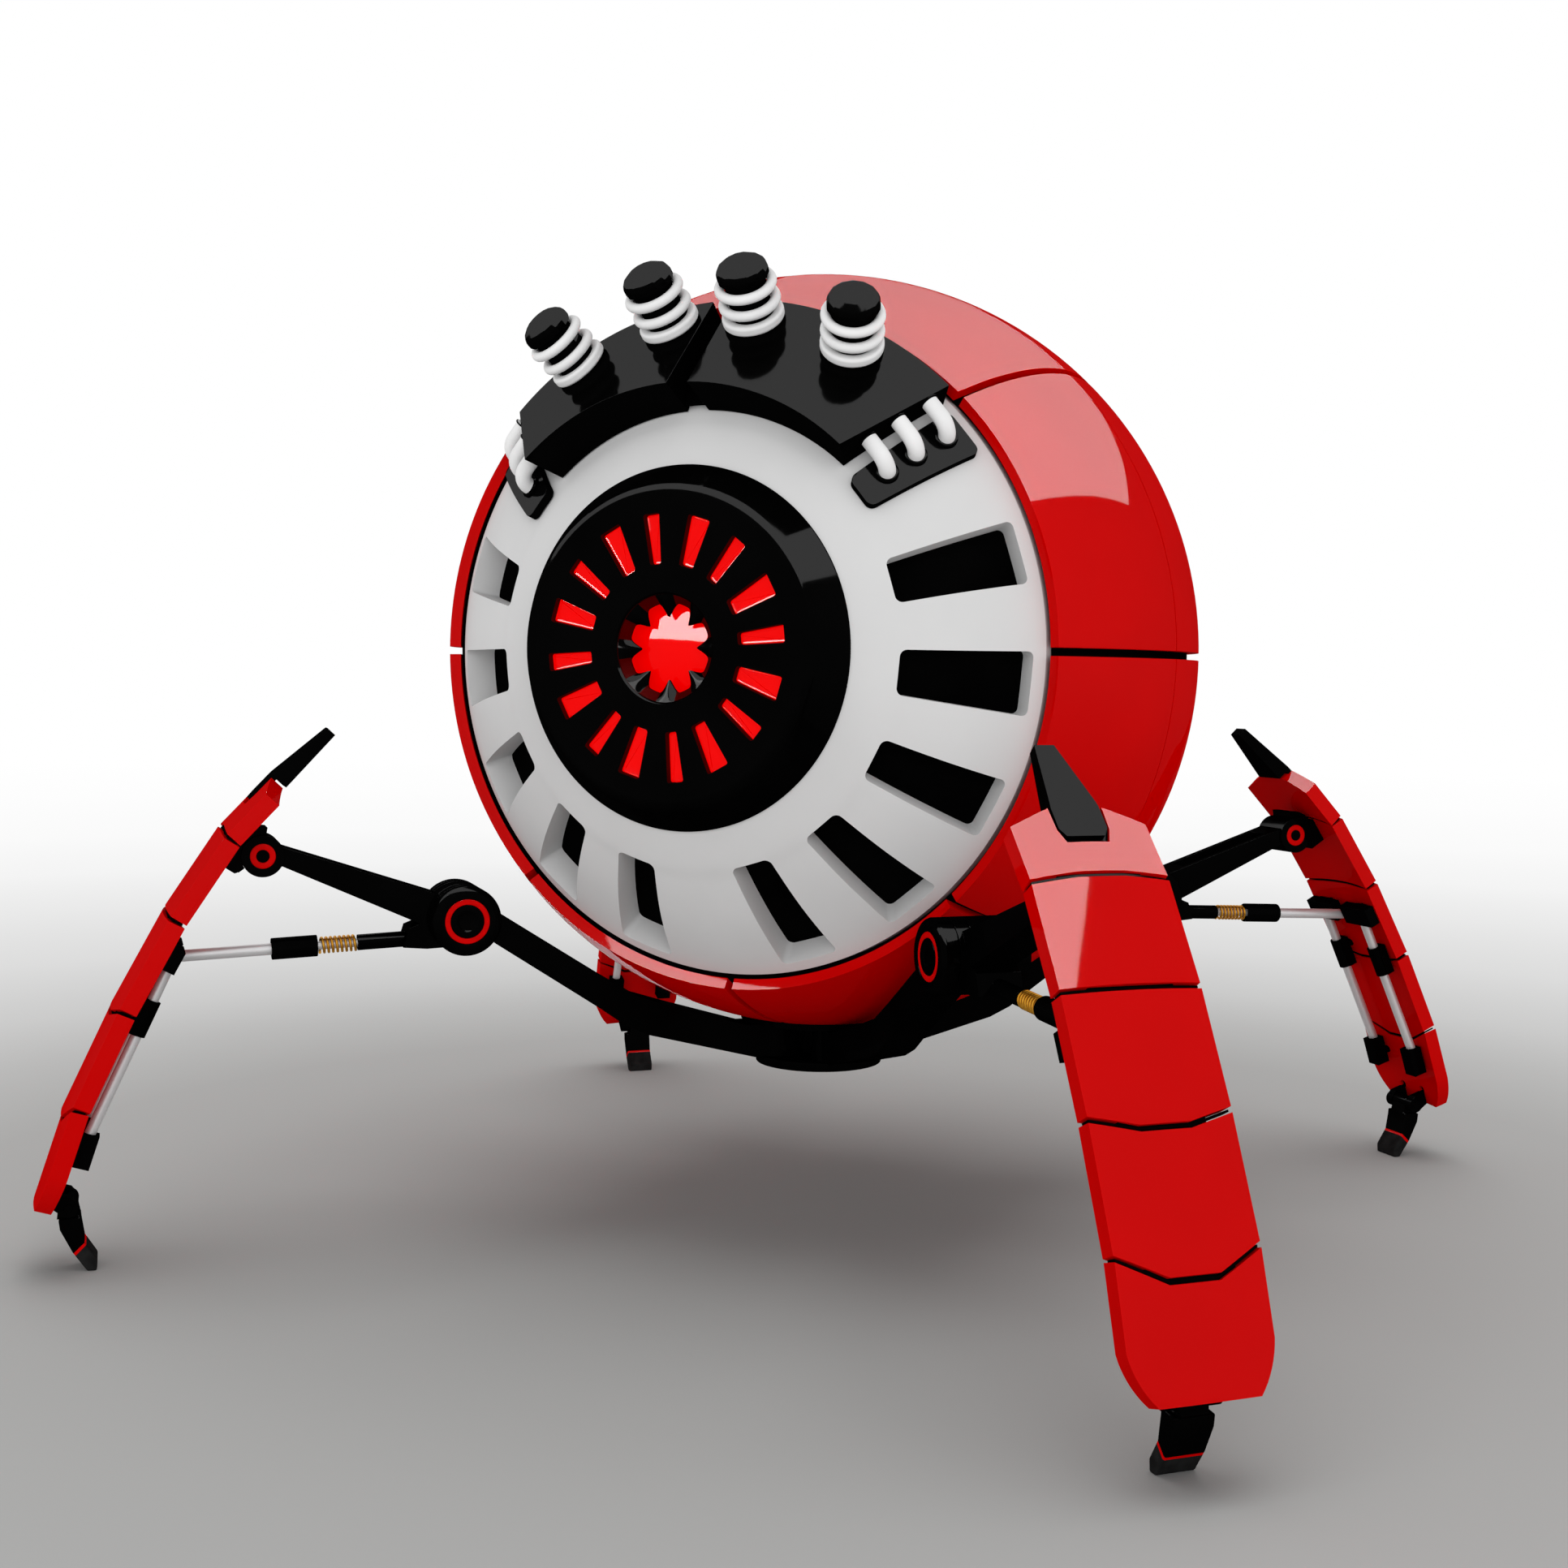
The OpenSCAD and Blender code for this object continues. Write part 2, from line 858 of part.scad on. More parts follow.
function wire_way(i) =
    let (n = len(wire_path) - 1, before = max(0, i - 1), after = min(n, i + 1))
    i == 0 || i == n
        ? [0, 0, 1]
        : unit(unit(wire_path[after] - wire_path[i]) + unit(wire_path[i] - wire_path[before]));

function wire_ring(i) =
    let (p = wire_path[i], u = unit([p[0], p[1], 0]), w = wire_way(i), v = unit(cross(w, u)), o = cross(v, w))
    [for (j = [0:wire_sides - 1])
        let (a = 360 * j / wire_sides)
        p + spring_wire / 2 * (cos(a) * o + sin(a) * v)];

wire_gap = min([
    for (i = [0:curl_count - 5])
        for (j = [i + 5:min(curl_count, i + 12)])
            norm(curl(i) - curl(j)) - spring_wire
]);
echo(least_gap_of_spring_wire = wire_gap);

module shock_spring() {
    n = len(wire_path);
    s = wire_sides;
    points = [for (i = [0:n - 1]) each wire_ring(i)];
    walls = [for (i = [0:n - 2]) for (j = [0:s - 1]) each [
        [i * s + j, (i + 1) * s + j, i * s + (j + 1) % s],
        [i * s + (j + 1) % s, (i + 1) * s + j, (i + 1) * s + (j + 1) % s]
    ]];
    ends = [for (j = [1:s - 2]) each [
        [0, j, j + 1],
        [(n - 1) * s, (n - 1) * s + j + 1, (n - 1) * s + j]
    ]];
    color([0.85, 0.6, 0.17]) {
        shock_frame() translate([0, 0, stub_len + seat / 2]) polyhedron(points, concat(walls, ends));
    }
}

module shock_plunger() {
    color(steel) {
        shock_frame() {
            translate([0, 0, stub_len - guide_in]) cylinder(r = guide_r, h = spring_len + guide_in + 1);
            translate([0, 0, sleeve_at]) cylinder(r = sleeve_r, h = sleeve_len);
            translate([0, 0, sleeve_at + 1]) cylinder(r = rod_r, h = shock_len - sleeve_at);
            translate([0, 0, shock_len + 1]) sphere(r = rod_r);
        }
    }
}

// shield

function edge(k, t) = dip[k] * (max(0, abs(t) - dip_half) / (shield_half - dip_half) - 0.8);

module plate_area() {
    difference() {
        intersection() {
            translate([crown - crown_r, 0]) circle(crown_r);
            area(-plate_side, crown + 1, -shield_half, shield_half);
        }
        translate([inner_n - hollow_r, 0]) circle(hollow_r);
    }
}

// outline of a plate seen square to it, as width and height
module plate_plan(k) {
    wide = shield_half + 2;
    half_gap = plate_gap / 2;
    top = -half_gap;
    low = half_gap - plate_len[k];
    j = k + 1;
    if (k == 0) {
        polygon([
            [-wide, low + edge(j, wide)], [-dip_half, low + edge(j, 0)], [dip_half, low + edge(j, 0)],
            [wide, low + edge(j, wide)], [wide, -0.4], [7.3, 5], [-7.3, 5], [-wide, -0.4]
        ]);
    } else if (k < 4) {
        polygon([
            [-wide, low + edge(j, wide)], [-dip_half, low + edge(j, 0)], [dip_half, low + edge(j, 0)],
            [wide, low + edge(j, wide)], [wide, top + edge(k, wide)], [dip_half, top + edge(k, 0)],
            [-dip_half, top + edge(k, 0)], [-wide, top + edge(k, wide)]
        ]);
    } else {
        toe_z = -0.48 * plate_len[4];
        toe_low = 1 - plate_len[4];
        toe_in = 6;
        toe_fall = toe_z - toe_low;
        toe_r = (toe_in * toe_in + toe_fall * toe_fall) / (2 * toe_in);
        polygon([
            [-wide, toe_z], [wide, toe_z], [wide, top + edge(k, wide)], [dip_half, top + edge(k, 0)],
            [-dip_half, top + edge(k, 0)], [-wide, top + edge(k, wide)]
        ]);
        intersection() {
            translate([shield_half + 0.3 - toe_r, toe_z]) circle(toe_r);
            translate([toe_r - shield_half - 0.3, toe_z]) circle(toe_r);
            area(-wide, wide, toe_low, toe_z + 1);
        }
    }
}

module seen_square(n0, n1) {
    translate([n0, 0, 0]) rotate([90, 0, 90]) linear_extrude(n1 - n0) children();
}

function shield_pt(k, n, z) = base[k] + n * out(k) - z * down(k);
function bend_pt(k, n) = base[k] + n * (out(k - 1) + out(k)) / (1 + cos(pitch[k] - pitch[k - 1]));

// the spine that runs through all plates, with play all round
module spine(play) {
    lo = spine_lo - play;
    hi = spine_hi + play;
    low_z = hinge_z + 8.5 - play;
    toe_z = hinge_z + 2 - play;
    slab(spine_half + play) {
        polygon(concat(
            [shield_pt(0, lo, 1.5 + play)],
            [for (k = [1:4]) bend_pt(k, lo)],
            [shield_pt(4, lo, low_z), shield_pt(4, hi, low_z)],
            [for (k = [4:-1:1]) bend_pt(k, hi)],
            [shield_pt(0, hi, 1.5 + play)]
        ));
    }
    slab(8 + play) {
        polygon([
            shield_pt(4, lo + 0.05, toe_z), shield_pt(4, lo + 0.05, low_z + 2),
            shield_pt(4, hi - 0.05, low_z + 2), shield_pt(4, hi - 0.05, toe_z)
        ]);
    }
}

module boss_pins(play) {
    for (b = bosses)
        shield_at(b[0])
            translate([pad_n - 1.5, b[2], b[1]])
                rotate([0, 90, 0]) cylinder(r = boss_r + play, h = -pad_n + 1);
}

module shield_panels() {
    color(red) {
        for (k = [0:4]) {
            difference() {
                shield_at(k) {
                    intersection() {
                        translate([0, 0, -plate_len[k] - 12]) linear_extrude(plate_len[k] + 30) plate_area();
                        seen_square(-plate_side - 1, crown + 1) plate_plan(k);
                    }
                }
                spine(spine_play);
                boss_pins(spine_play);
                if (k == 0)
                    shield_at(0)
                        seen_square(-0.6, crown + 2)
                            polygon([[-5.6, -5.6], [5.6, -5.6], [7, -1.7], [7.3, 6], [-7.3, 6], [-7, -1.7]]);
            }
        }
    }
}

module gap_rib(k) {
    rise = 0.2 * plate_gap;
    half = shield_half - 0.5;
    half_bend = (pitch[k] - pitch[k - 1]) / 2;
    shield_at(k) rotate([0, -half_bend, 0]) {
        intersection() {
            translate([0, 0, -20]) {
                linear_extrude(40) {
                    intersection() {
                        translate([crown - crown_r, 0]) circle(crown_r - 0.8);
                        area(1 - plate_side, crown, -half, half);
                        plate_area();
                    }
                }
            }
            seen_square(-plate_side, crown + 1) {
                polygon([
                    [-shield_half, edge(k, shield_half) - rise], [-dip_half, edge(k, 0) - rise],
                    [dip_half, edge(k, 0) - rise], [shield_half, edge(k, shield_half) - rise],
                    [shield_half, edge(k, shield_half) + rise], [dip_half, edge(k, 0) + rise],
                    [-dip_half, edge(k, 0) + rise], [-shield_half, edge(k, shield_half) + rise]
                ]);
            }
        }
    }
}

module fin() {
    shield_at(0) {
        intersection() {
            slab(spine_half) {
                polygon([
                    [-0.3, -3.8], [crown, -3.8], [crown, 6.6], [-0.8, fin_len], [-4, fin_len],
                    [-4, 5.8], [-0.3, 5.8]
                ]);
            }
            seen_square(-6, 4) {
                polygon([
                    [-5, -4], [5, -4], [6.5, -1.5], [6.5, 5.2], [2.65, fin_len + 0.5],
                    [-2.65, fin_len + 0.5], [-6.5, 5.2], [-6.5, -1.5]
                ]);
            }
        }
    }
}

module saddle() {
    top_n = inner_n - 0.45;
    saddle_r = shoulder_r + saddle_wall;
    slab(saddle_half) {
        difference() {
            union() {
                translate(shoulder) {
                    intersection() {
                        circle(saddle_r);
                        polygon(concat(
                            [[0, 0]],
                            [for (a = [saddle_from:45:saddle_to]) 2 * saddle_r * [cos(a), sin(a)]]
                        ));
                    }
                }
                polygon([
                    shield_pt(1, top_n, 0.2), shield_pt(1, top_n, -14), shield_pt(1, top_n - 1, -14.4),
                    shield_pt(1, 3.4 - shoulder_drop, -8), shoulder
                ]);
            }
            translate(shoulder) circle(shoulder_r + fit);
        }
    }
}

module crossbar() {
    shield_at(2) {
        difference() {
            union() {
                slab(bar_half) {
                    polygon([
                        [-5.05, -3.7], [-5.9, -3.7], [-8.65, -7], [-8.65, -13.9], [-5.05, -13.9]
                    ]);
                }
                for (s = [-1, 1])
                    translate([-6, s * rod_t - 2.9, -13.6]) cube([6 + pad_n + seat, 5.8, 9.6]);
            }
            translate([-10, -2.4, -20]) cube([10, 4.8, 14.8]);
        }
    }
}

module rod_clamps() {
    for (s = [-1, 1]) {
        shield_at(3) {
            translate([0, 0, -4.8]) {
                linear_extrude(10.8) {
                    translate([rod_n, s * rod_t]) circle(shield_rod_r + 0.8);
                    area(rod_n, pad_n, s * rod_t - 2.9, s * rod_t + 2.9);
                }
            }
        }
        shield_at(4) {
            translate([0, s * (rod_t - 0.2), 0]) {
                slab(2.8) {
                    polygon([[-9.9, -5.6], [pad_n, -5.6], [pad_n, -15.6], [-9.9, -15.6]]);
                }
            }
        }
    }
}

module claw_lugs() {
    top_n = inner_n - 0.6;
    shield_at(4) {
        for (s = [-1, 1]) {
            translate([0, s * (lug_in + lug_out) / 2, 0]) {
                slab((lug_out - lug_in) / 2) {
                    translate([hinge_n, hinge_z]) circle(lug_r);
                    polygon([
                        [top_n, hinge_z + 6.1], [top_n, hinge_z - 1.1], [hinge_n + 0.3, hinge_z - 2.6],
                        [hinge_n - 2, hinge_z + 1.7]
                    ]);
                }
            }
        }
    }
}

module shield_rod(play) {
    for (s = [-1, 1])
        shield_at(3)
            translate([rod_n, s * rod_t, -plate_len[3] - 9.9 - play])
                cylinder(r = shield_rod_r + play, h = plate_len[3] + plate_len[2] - 1.7 + 2 * play);
}

module shield_frame() {
    color(black) {
        difference() {
            union() {
                spine(0);
                for (k = [1:4])
                    gap_rib(k);
                fin();
                saddle();
                crossbar();
                rod_clamps();
                claw_lugs();
                boss_pins(0);
            }
            shield_rod(fit);
            cross_bar(hinge, pin_r + fit, lug_out + 3);
        }
    }
}

module shield_rods() {
    color(steel) {
        shield_rod(0);
        cross_bar(hinge, pin_r, lug_out + 0.3);
    }
}

function claw_at(dr, f) = [hinge[0] + dr, f * claw_h];

module claw() {
    color(black) {
        difference() {
            union() {
                difference() {
                    slab(claw_w / 2) {
                        polygon([
                            claw_at(2.76, 0.81), claw_at(2.36, 0.65), claw_at(-1, 0.3), claw_at(-5, 0),
                            claw_at(-7.6, 0), claw_at(-7.8, 0.155), claw_at(-4.3, 0.44),
                            claw_at(-3.4, 0.725), claw_at(-3.2, 0.83)
                        ]);
                    }
                    cross_bar(hinge, lug_r + clear, claw_w);
                }
                slab(knuckle_claw) {
                    polygon([
                        [hinge[0] - 2.4, hinge[1] + 0.6], claw_at(-3.2, 0.83), claw_at(-3.2, 0.75),
                        claw_at(2.5, 0.75), claw_at(2.7, 0.8), [hinge[0] + 2.4, hinge[1] + 0.6]
                    ]);
                    translate(hinge) circle(lug_r - 0.1);
                }
            }
            cross_bar(hinge, pin_r + fit, claw_w);
        }
    }
}

hub_base();
hub_cover();
core_shell();
front_panels();
rear_panels();
rear_cap();
face_dome();
dome_liner();
eye_housing();
eye_diffuser();
eye_lens();
led_board();
brow_blocks();
knob_posts();
knob_rings();
hose_plates();
hoses();
hip_motors();
battery_pack();
control_board();
for (i = [0:3]) {
    leg = leg_names[i];
    at_leg(i) hip_arm();
    at_leg(i) knee_motor();
    at_leg(i) knee_link();
    at_leg(i) knee_caps();
    at_leg(i) shock_spring();
    at_leg(i) shock_plunger();
    at_leg(i) shield_panels();
    at_leg(i) shield_frame();
    at_leg(i) shield_rods();
    at_leg(i) claw();
}
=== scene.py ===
import math

import bpy
from mathutils import Matrix, Vector


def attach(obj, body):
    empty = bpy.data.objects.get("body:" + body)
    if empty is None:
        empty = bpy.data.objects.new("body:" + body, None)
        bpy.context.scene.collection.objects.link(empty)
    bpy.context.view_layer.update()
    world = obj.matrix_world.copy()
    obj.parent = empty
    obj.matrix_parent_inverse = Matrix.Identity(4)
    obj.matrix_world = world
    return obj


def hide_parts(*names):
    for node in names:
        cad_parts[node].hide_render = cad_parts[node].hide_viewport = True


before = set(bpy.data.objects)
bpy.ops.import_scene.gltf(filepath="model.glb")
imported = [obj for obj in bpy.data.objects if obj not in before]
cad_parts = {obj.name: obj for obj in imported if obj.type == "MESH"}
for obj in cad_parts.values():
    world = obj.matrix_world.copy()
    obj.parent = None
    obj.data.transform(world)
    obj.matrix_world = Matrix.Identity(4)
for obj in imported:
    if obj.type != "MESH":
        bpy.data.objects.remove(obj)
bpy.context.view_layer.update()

mm = 0.001
scene = bpy.context.scene
scene.view_settings.view_transform = "Standard"
legNames = ["front_left", "front_right", "rear_right", "rear_left"]
legTurns = [-135, -45, 45, 135]
# degrees between the shell panels, the pairs of eye slots and the petals
eighth = 45


# camera, at the place worked out from the photo
cameraSet = {"place": (0.25994, -0.56879, 0.17287), "heading": 24.562, "yaw": -1.118, "down": 3.09, "roll": 0.563,
             "lens": 43.87, "sensor": 36}


def setCamera(s):
    heading, yaw, down = (math.radians(s[k]) for k in ("heading", "yaw", "down"))
    ahead = Vector((-math.sin(heading - yaw), math.cos(heading - yaw), 0))
    aside = Vector((ahead.y, -ahead.x, 0))
    look = ahead * math.cos(down) - Vector((0, 0, 1)) * math.sin(down)
    above = aside.cross(look)
    data = bpy.data.cameras.new("camera")
    data.lens, data.sensor_width, data.clip_end = s["lens"], s["sensor"], 100
    camera = bpy.data.objects.new("camera", data)
    scene.collection.objects.link(camera)
    turn = Matrix((aside, above, -look)).transposed().to_4x4()
    camera.matrix_world = Matrix.Translation(s["place"]) @ turn @ Matrix.Rotation(math.radians(s["roll"]), 4, "Z")
    scene.camera = camera


setCamera(cameraSet)
print("camera set")


# finishes
def colour(code):
    parts = [int(code[i:i + 2], 16) / 255 for i in (1, 3, 5)]
    return [p / 12.92 if p <= 0.04045 else ((p + 0.055) / 1.055) ** 2.4 for p in parts] + [1]


def addNode(tree, kind, settings, links):
    node = tree.nodes.new(kind)
    for key, value in settings.items():
        if key in node.inputs:
            node.inputs[key].default_value = value
        else:
            setattr(node, key, value)
    for key, source in links.items():
        tree.links.new(source, node.inputs[key])
    return node


def newFinish(name):
    finish = bpy.data.materials.new(name)
    finish.use_nodes = True
    finish.node_tree.nodes.clear()
    return finish, finish.node_tree


skinSet = {"cloudDetail": 3, "tintSpan": (0.35, 0.65), "roughSpan": (0.3, 0.7), "grainDetail": 2, "reliefShare": 0.1}


def surfaceFinish(name, s):
    # two close tints, a roughness that wanders, and a fine relief, each at its own size in millimetres
    finish, tree = newFinish(name)
    place = addNode(tree, "ShaderNodeTexCoord", {}, {}).outputs["Object"]
    cloud = addNode(tree, "ShaderNodeTexNoise", {"Scale": 1 / (s["cloudSize"] * mm), "Detail": skinSet["cloudDetail"]},
                    {"Vector": place})
    tint = addNode(tree, "ShaderNodeValToRGB", {}, {"Fac": cloud.outputs["Fac"]})
    for stop, position, code in zip(tint.color_ramp.elements, skinSet["tintSpan"], (s["dark"], s["light"])):
        stop.position, stop.color = position, colour(code)
    gloss = addNode(tree, "ShaderNodeMapRange",
                    {"From Min": skinSet["roughSpan"][0], "From Max": skinSet["roughSpan"][1],
                     "To Min": s["rough"][0], "To Max": s["rough"][1]}, {"Value": cloud.outputs["Fac"]})
    grain = addNode(tree, "ShaderNodeTexNoise", {"Scale": 1 / (s["grainSize"] * mm), "Detail": skinSet["grainDetail"]},
                    {"Vector": place})
    relief = addNode(tree, "ShaderNodeBump",
                     {"Strength": s["relief"], "Distance": s["grainSize"] * skinSet["reliefShare"] * mm},
                     {"Height": grain.outputs["Fac"]})
    skin = addNode(tree, "ShaderNodeBsdfPrincipled",
                   {"Metallic": s.get("metal", 0), "Specular IOR Level": s.get("shine", 0),
                    "Emission Color": colour(s.get("glow", "#000000")), "Emission Strength": s.get("glowStrength", 0)},
                   {"Base Color": tint.outputs["Color"], "Roughness": gloss.outputs["Result"],
                    "Normal": relief.outputs["Normal"]}).outputs["BSDF"]
    if "mirror" in s:
        # even reflection at every angle, as in the photo
        coat = addNode(tree, "ShaderNodeBsdfAnisotropic", {"Color": (1, 1, 1, 1)},
                       {"Roughness": gloss.outputs["Result"], "Normal": relief.outputs["Normal"]})
        both = addNode(tree, "ShaderNodeMixShader", {"Fac": s["mirror"]}, {})
        tree.links.new(skin, both.inputs[1])
        tree.links.new(coat.outputs["BSDF"], both.inputs[2])
        skin = both.outputs["Shader"]
    addNode(tree, "ShaderNodeOutputMaterial", {}, {"Surface": skin})
    return finish


# lacquered ABS: deep even red with sharp reflections and a faint orange peel
redLacquer = surfaceFinish("ABS red gloss lacquer", {
    "dark": "#CE0000", "light": "#D40000", "cloudSize": 45, "rough": (0.03, 0.05), "grainSize": 1.6, "relief": 0.015,
    "mirror": 0.0045})
# moulded ABS, polished tool: near black, weak sharp reflections
blackGloss = surfaceFinish("ABS black gloss moulding", {
    "dark": "#020202", "light": "#040404", "cloudSize": 30, "rough": (0.06, 0.1), "grainSize": 0.9, "relief": 0.02,
    "mirror": 0.00075})
# moulded ABS, fine spark texture: black without reflections
blackSatin = surfaceFinish("ABS black satin moulding", {
    "dark": "#030303", "light": "#060606", "cloudSize": 25, "rough": (0.5, 0.62), "grainSize": 0.6, "relief": 0.12})
# moulded ABS, fine matte texture: cool even white with soft shading
whiteMatte = surfaceFinish("ABS white matte moulding", {
    "dark": "#DEDEDE", "light": "#E2E2E2", "cloudSize": 35, "rough": (0.55, 0.7), "grainSize": 0.7, "relief": 0.05})
# cast silicone rubber: bright white with a dull skin
whiteRubber = surfaceFinish("Silicone white cast", {
    "dark": "#F4F4F4", "light": "#FAFAFA", "cloudSize": 12, "rough": (0.45, 0.6), "grainSize": 0.5, "relief": 0.05})
# clear red acrylic over light: glows evenly, wet reflections
redLens = surfaceFinish("Acrylic red lit lens", {
    "dark": "#A00000", "light": "#A80000", "cloudSize": 20, "rough": (0.03, 0.05), "grainSize": 1.5, "relief": 0.01,
    "mirror": 0.0045, "glow": "#FF0000", "glowStrength": 0.62})
# turned and ground steel: bright, drawn out reflections
groundSteel = surfaceFinish("Steel ground rod", {
    "dark": "#E2E2E3", "light": "#EAEAEB", "cloudSize": 12, "rough": (0.38, 0.46), "grainSize": 0.5, "relief": 0.01,
    "metal": 0.6})
# brushed steel of the motor cans
motorSteel = surfaceFinish("Steel brushed can", {
    "dark": "#8F9092", "light": "#A9AAAC", "cloudSize": 6, "rough": (0.3, 0.42), "grainSize": 0.6, "relief": 0.08,
    "metal": 1})
# drawn brass wire: warm, slightly dull
brassWire = surfaceFinish("Brass drawn wire", {
    "dark": "#C98A22", "light": "#E2A73C", "cloudSize": 1.5, "rough": (0.28, 0.4), "grainSize": 0.3, "relief": 0.06,
    "metal": 0.85})
# glass fibre board under green solder mask
boardGreen = surfaceFinish("Glass fibre green board", {
    "dark": "#0F4A22", "light": "#155C2C", "cloudSize": 8, "rough": (0.35, 0.5), "grainSize": 0.8, "relief": 0.1})
# shrunk PVC sleeve: wavy blue film
packBlue = surfaceFinish("PVC blue shrink sleeve", {
    "dark": "#16305F", "light": "#1D3B73", "cloudSize": 10, "rough": (0.25, 0.4), "grainSize": 3, "relief": 0.3})
# black slot walls painted dark red: painted light standing in for the red glow of the inserts on the black walls
paintedGlowRed = surfaceFinish("ABS black wall painted red glow", {
    "dark": "#400000", "light": "#4A0000", "cloudSize": 6, "rough": (0.3, 0.4), "grainSize": 0.6, "relief": 0.05,
    "mirror": 0.0001})
# painted line on the claws
redPaint = surfaceFinish("Acrylic red painted line", {
    "dark": "#D00000", "light": "#DC0000", "cloudSize": 5, "rough": (0.3, 0.4), "grainSize": 0.4, "relief": 0.05,
    "mirror": 0.002})
# nitrile tip of the claws, dark grey from use
tipRubber = surfaceFinish("Nitrile dark grey tip", {
    "dark": "#1B1B1B", "light": "#262626", "cloudSize": 4, "rough": (0.5, 0.7), "grainSize": 0.5, "relief": 0.2})
print("finishes made")


# hand tools; smallest radius on the lathe, and the distances within which points are joined, in millimetres
least, weld, cadWeld = 0.01, 0.001, 0.002


def wake(piece):
    if bpy.context.object and bpy.context.object.mode != "OBJECT":
        bpy.ops.object.mode_set(mode="OBJECT")
    bpy.ops.object.select_all(action="DESELECT")
    piece.select_set(True)
    bpy.context.view_layer.objects.active = piece


def pick(piece, kind, test):
    # opens edit mode with only the wanted points, edges or faces selected
    wake(piece)
    bpy.ops.object.mode_set(mode="EDIT")
    bpy.ops.mesh.select_mode(type=kind)
    bpy.ops.mesh.select_all(action="DESELECT")
    bpy.ops.object.mode_set(mode="OBJECT")
    mesh = piece.data
    for item in {"VERT": mesh.vertices, "EDGE": mesh.edges, "FACE": mesh.polygons}[kind]:
        item.select = bool(test(item))
    bpy.ops.object.mode_set(mode="EDIT")


def leaveEdit():
    bpy.ops.object.mode_set(mode="OBJECT")


def modify(piece, kind, **settings):
    wake(piece)
    bpy.ops.object.modifier_add(type=kind)
    step = piece.modifiers[-1]
    for key, value in settings.items():
        setattr(step, key, value)
    bpy.ops.object.modifier_apply(modifier=step.name)


def smooth(piece, angle=40):
    wake(piece)
    bpy.ops.object.shade_smooth_by_angle(angle=math.radians(angle))
    modify(piece, "WEIGHTED_NORMAL", keep_sharp=True)


def soften(piece, width, segments=3, angle=35):
    modify(piece, "BEVEL", width=width * mm, segments=segments, limit_method="ANGLE",
           angle_limit=math.radians(angle))
    smooth(piece)


def applyPlace(piece):
    wake(piece)
    bpy.ops.object.transform_apply(location=True, rotation=True, scale=True)


def moved(piece, matrix):
    piece.matrix_world = matrix
    applyPlace(piece)
    return piece


def turnedBy(degrees, axis="Z"):
    return Matrix.Rotation(math.radians(degrees), 4, axis)


def shifted(x, y, z):
    return Matrix.Translation((x * mm, y * mm, z * mm))


def copied(piece, name):
    twin = piece.copy()
    twin.data = piece.data.copy()
    twin.name = name
    scene.collection.objects.link(twin)
    return twin


def joined(pieces, name):
    wake(pieces[0])
    for piece in pieces:
        piece.select_set(True)
    bpy.ops.object.join()
    pieces[0].name = name
    return pieces[0]


def turnOnLathe(name, outline, sides):
    # outline: distance from the axis and height in millimetres, turned about Z; a ring ends where it began
    bpy.ops.object.select_all(action="DESELECT")
    bpy.ops.mesh.primitive_circle_add(vertices=sides, radius=max(outline[0][0], least) * mm,
                                      fill_type="NGON" if outline[0] != outline[-1] else "NOTHING",
                                      location=(0, 0, outline[0][1] * mm))
    piece = bpy.context.object
    piece.name = name
    applyPlace(piece)
    bpy.ops.object.mode_set(mode="EDIT")
    bpy.ops.mesh.select_mode(type="EDGE")
    bpy.ops.mesh.select_all(action="SELECT")
    for before, after in zip(outline, outline[1:]):
        rise = (after[1] - before[1]) * mm
        bpy.ops.mesh.extrude_edges_move(TRANSFORM_OT_translate={"value": (0, 0, rise)})
        share = max(after[0], least) / max(before[0], least)
        bpy.ops.transform.resize(value=(share, share, 1), center_override=(0, 0, after[1] * mm))
    if outline[0] != outline[-1]:
        bpy.ops.mesh.edge_face_add()
    bpy.ops.mesh.select_all(action="SELECT")
    bpy.ops.mesh.remove_doubles(threshold=weld * mm)
    bpy.ops.mesh.normals_make_consistent(inside=False)
    leaveEdit()
    return piece


def ringOutline(inner, outer, low, high):
    return [(inner, low), (outer, low), (outer, high), (inner, high), (inner, low)]


def roundUpright(block, tall, corner, steps):
    # rounds the upright edges of a block of that height
    points = block.data.vertices
    pick(block, "EDGE", lambda edge: abs(points[edge.vertices[0]].co.z - points[edge.vertices[1]].co.z) > tall * mm / 2)
    bpy.ops.mesh.bevel(offset=corner * mm, segments=steps, affect="EDGES")
    leaveEdit()


def copyOfNode(node, name, merge=0.6):
    # the CAD shape as one clean mesh, with flat faces joined up again
    piece = bpy.data.objects.new(name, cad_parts[node].data.copy())
    scene.collection.objects.link(piece)
    wake(piece)
    bpy.ops.mesh.customdata_custom_splitnormals_clear()
    pick(piece, "VERT", lambda point: True)
    bpy.ops.mesh.remove_doubles(threshold=cadWeld * mm)
    bpy.ops.mesh.dissolve_limited(angle_limit=math.radians(merge))
    leaveEdit()
    piece.data.materials.clear()
    return piece


def painted(piece, *finishes):
    piece.data.materials.clear()
    for finish in finishes:
        piece.data.materials.append(finish)
    return piece


def cutWith(piece, cutter):
    modify(piece, "BOOLEAN", object=cutter, operation="DIFFERENCE", solver="EXACT", use_self=True)
    bpy.data.objects.remove(cutter)


# pieces that the gloss panels below shine on
glossPieces, lensPieces, shellPieces = (bpy.data.collections.new(kind + "_pieces")
                                        for kind in ("gloss", "lens", "shell"))


def settle(piece, body, slotName, node):
    if slotName in ("red_gloss", "black_gloss", "red_lens"):
        glossPieces.objects.link(piece)
    if slotName == "red_lens":
        lensPieces.objects.link(piece)
    if slotName == "red_gloss" and body == "body":
        shellPieces.objects.link(piece)
    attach(piece, body)
    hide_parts(node)


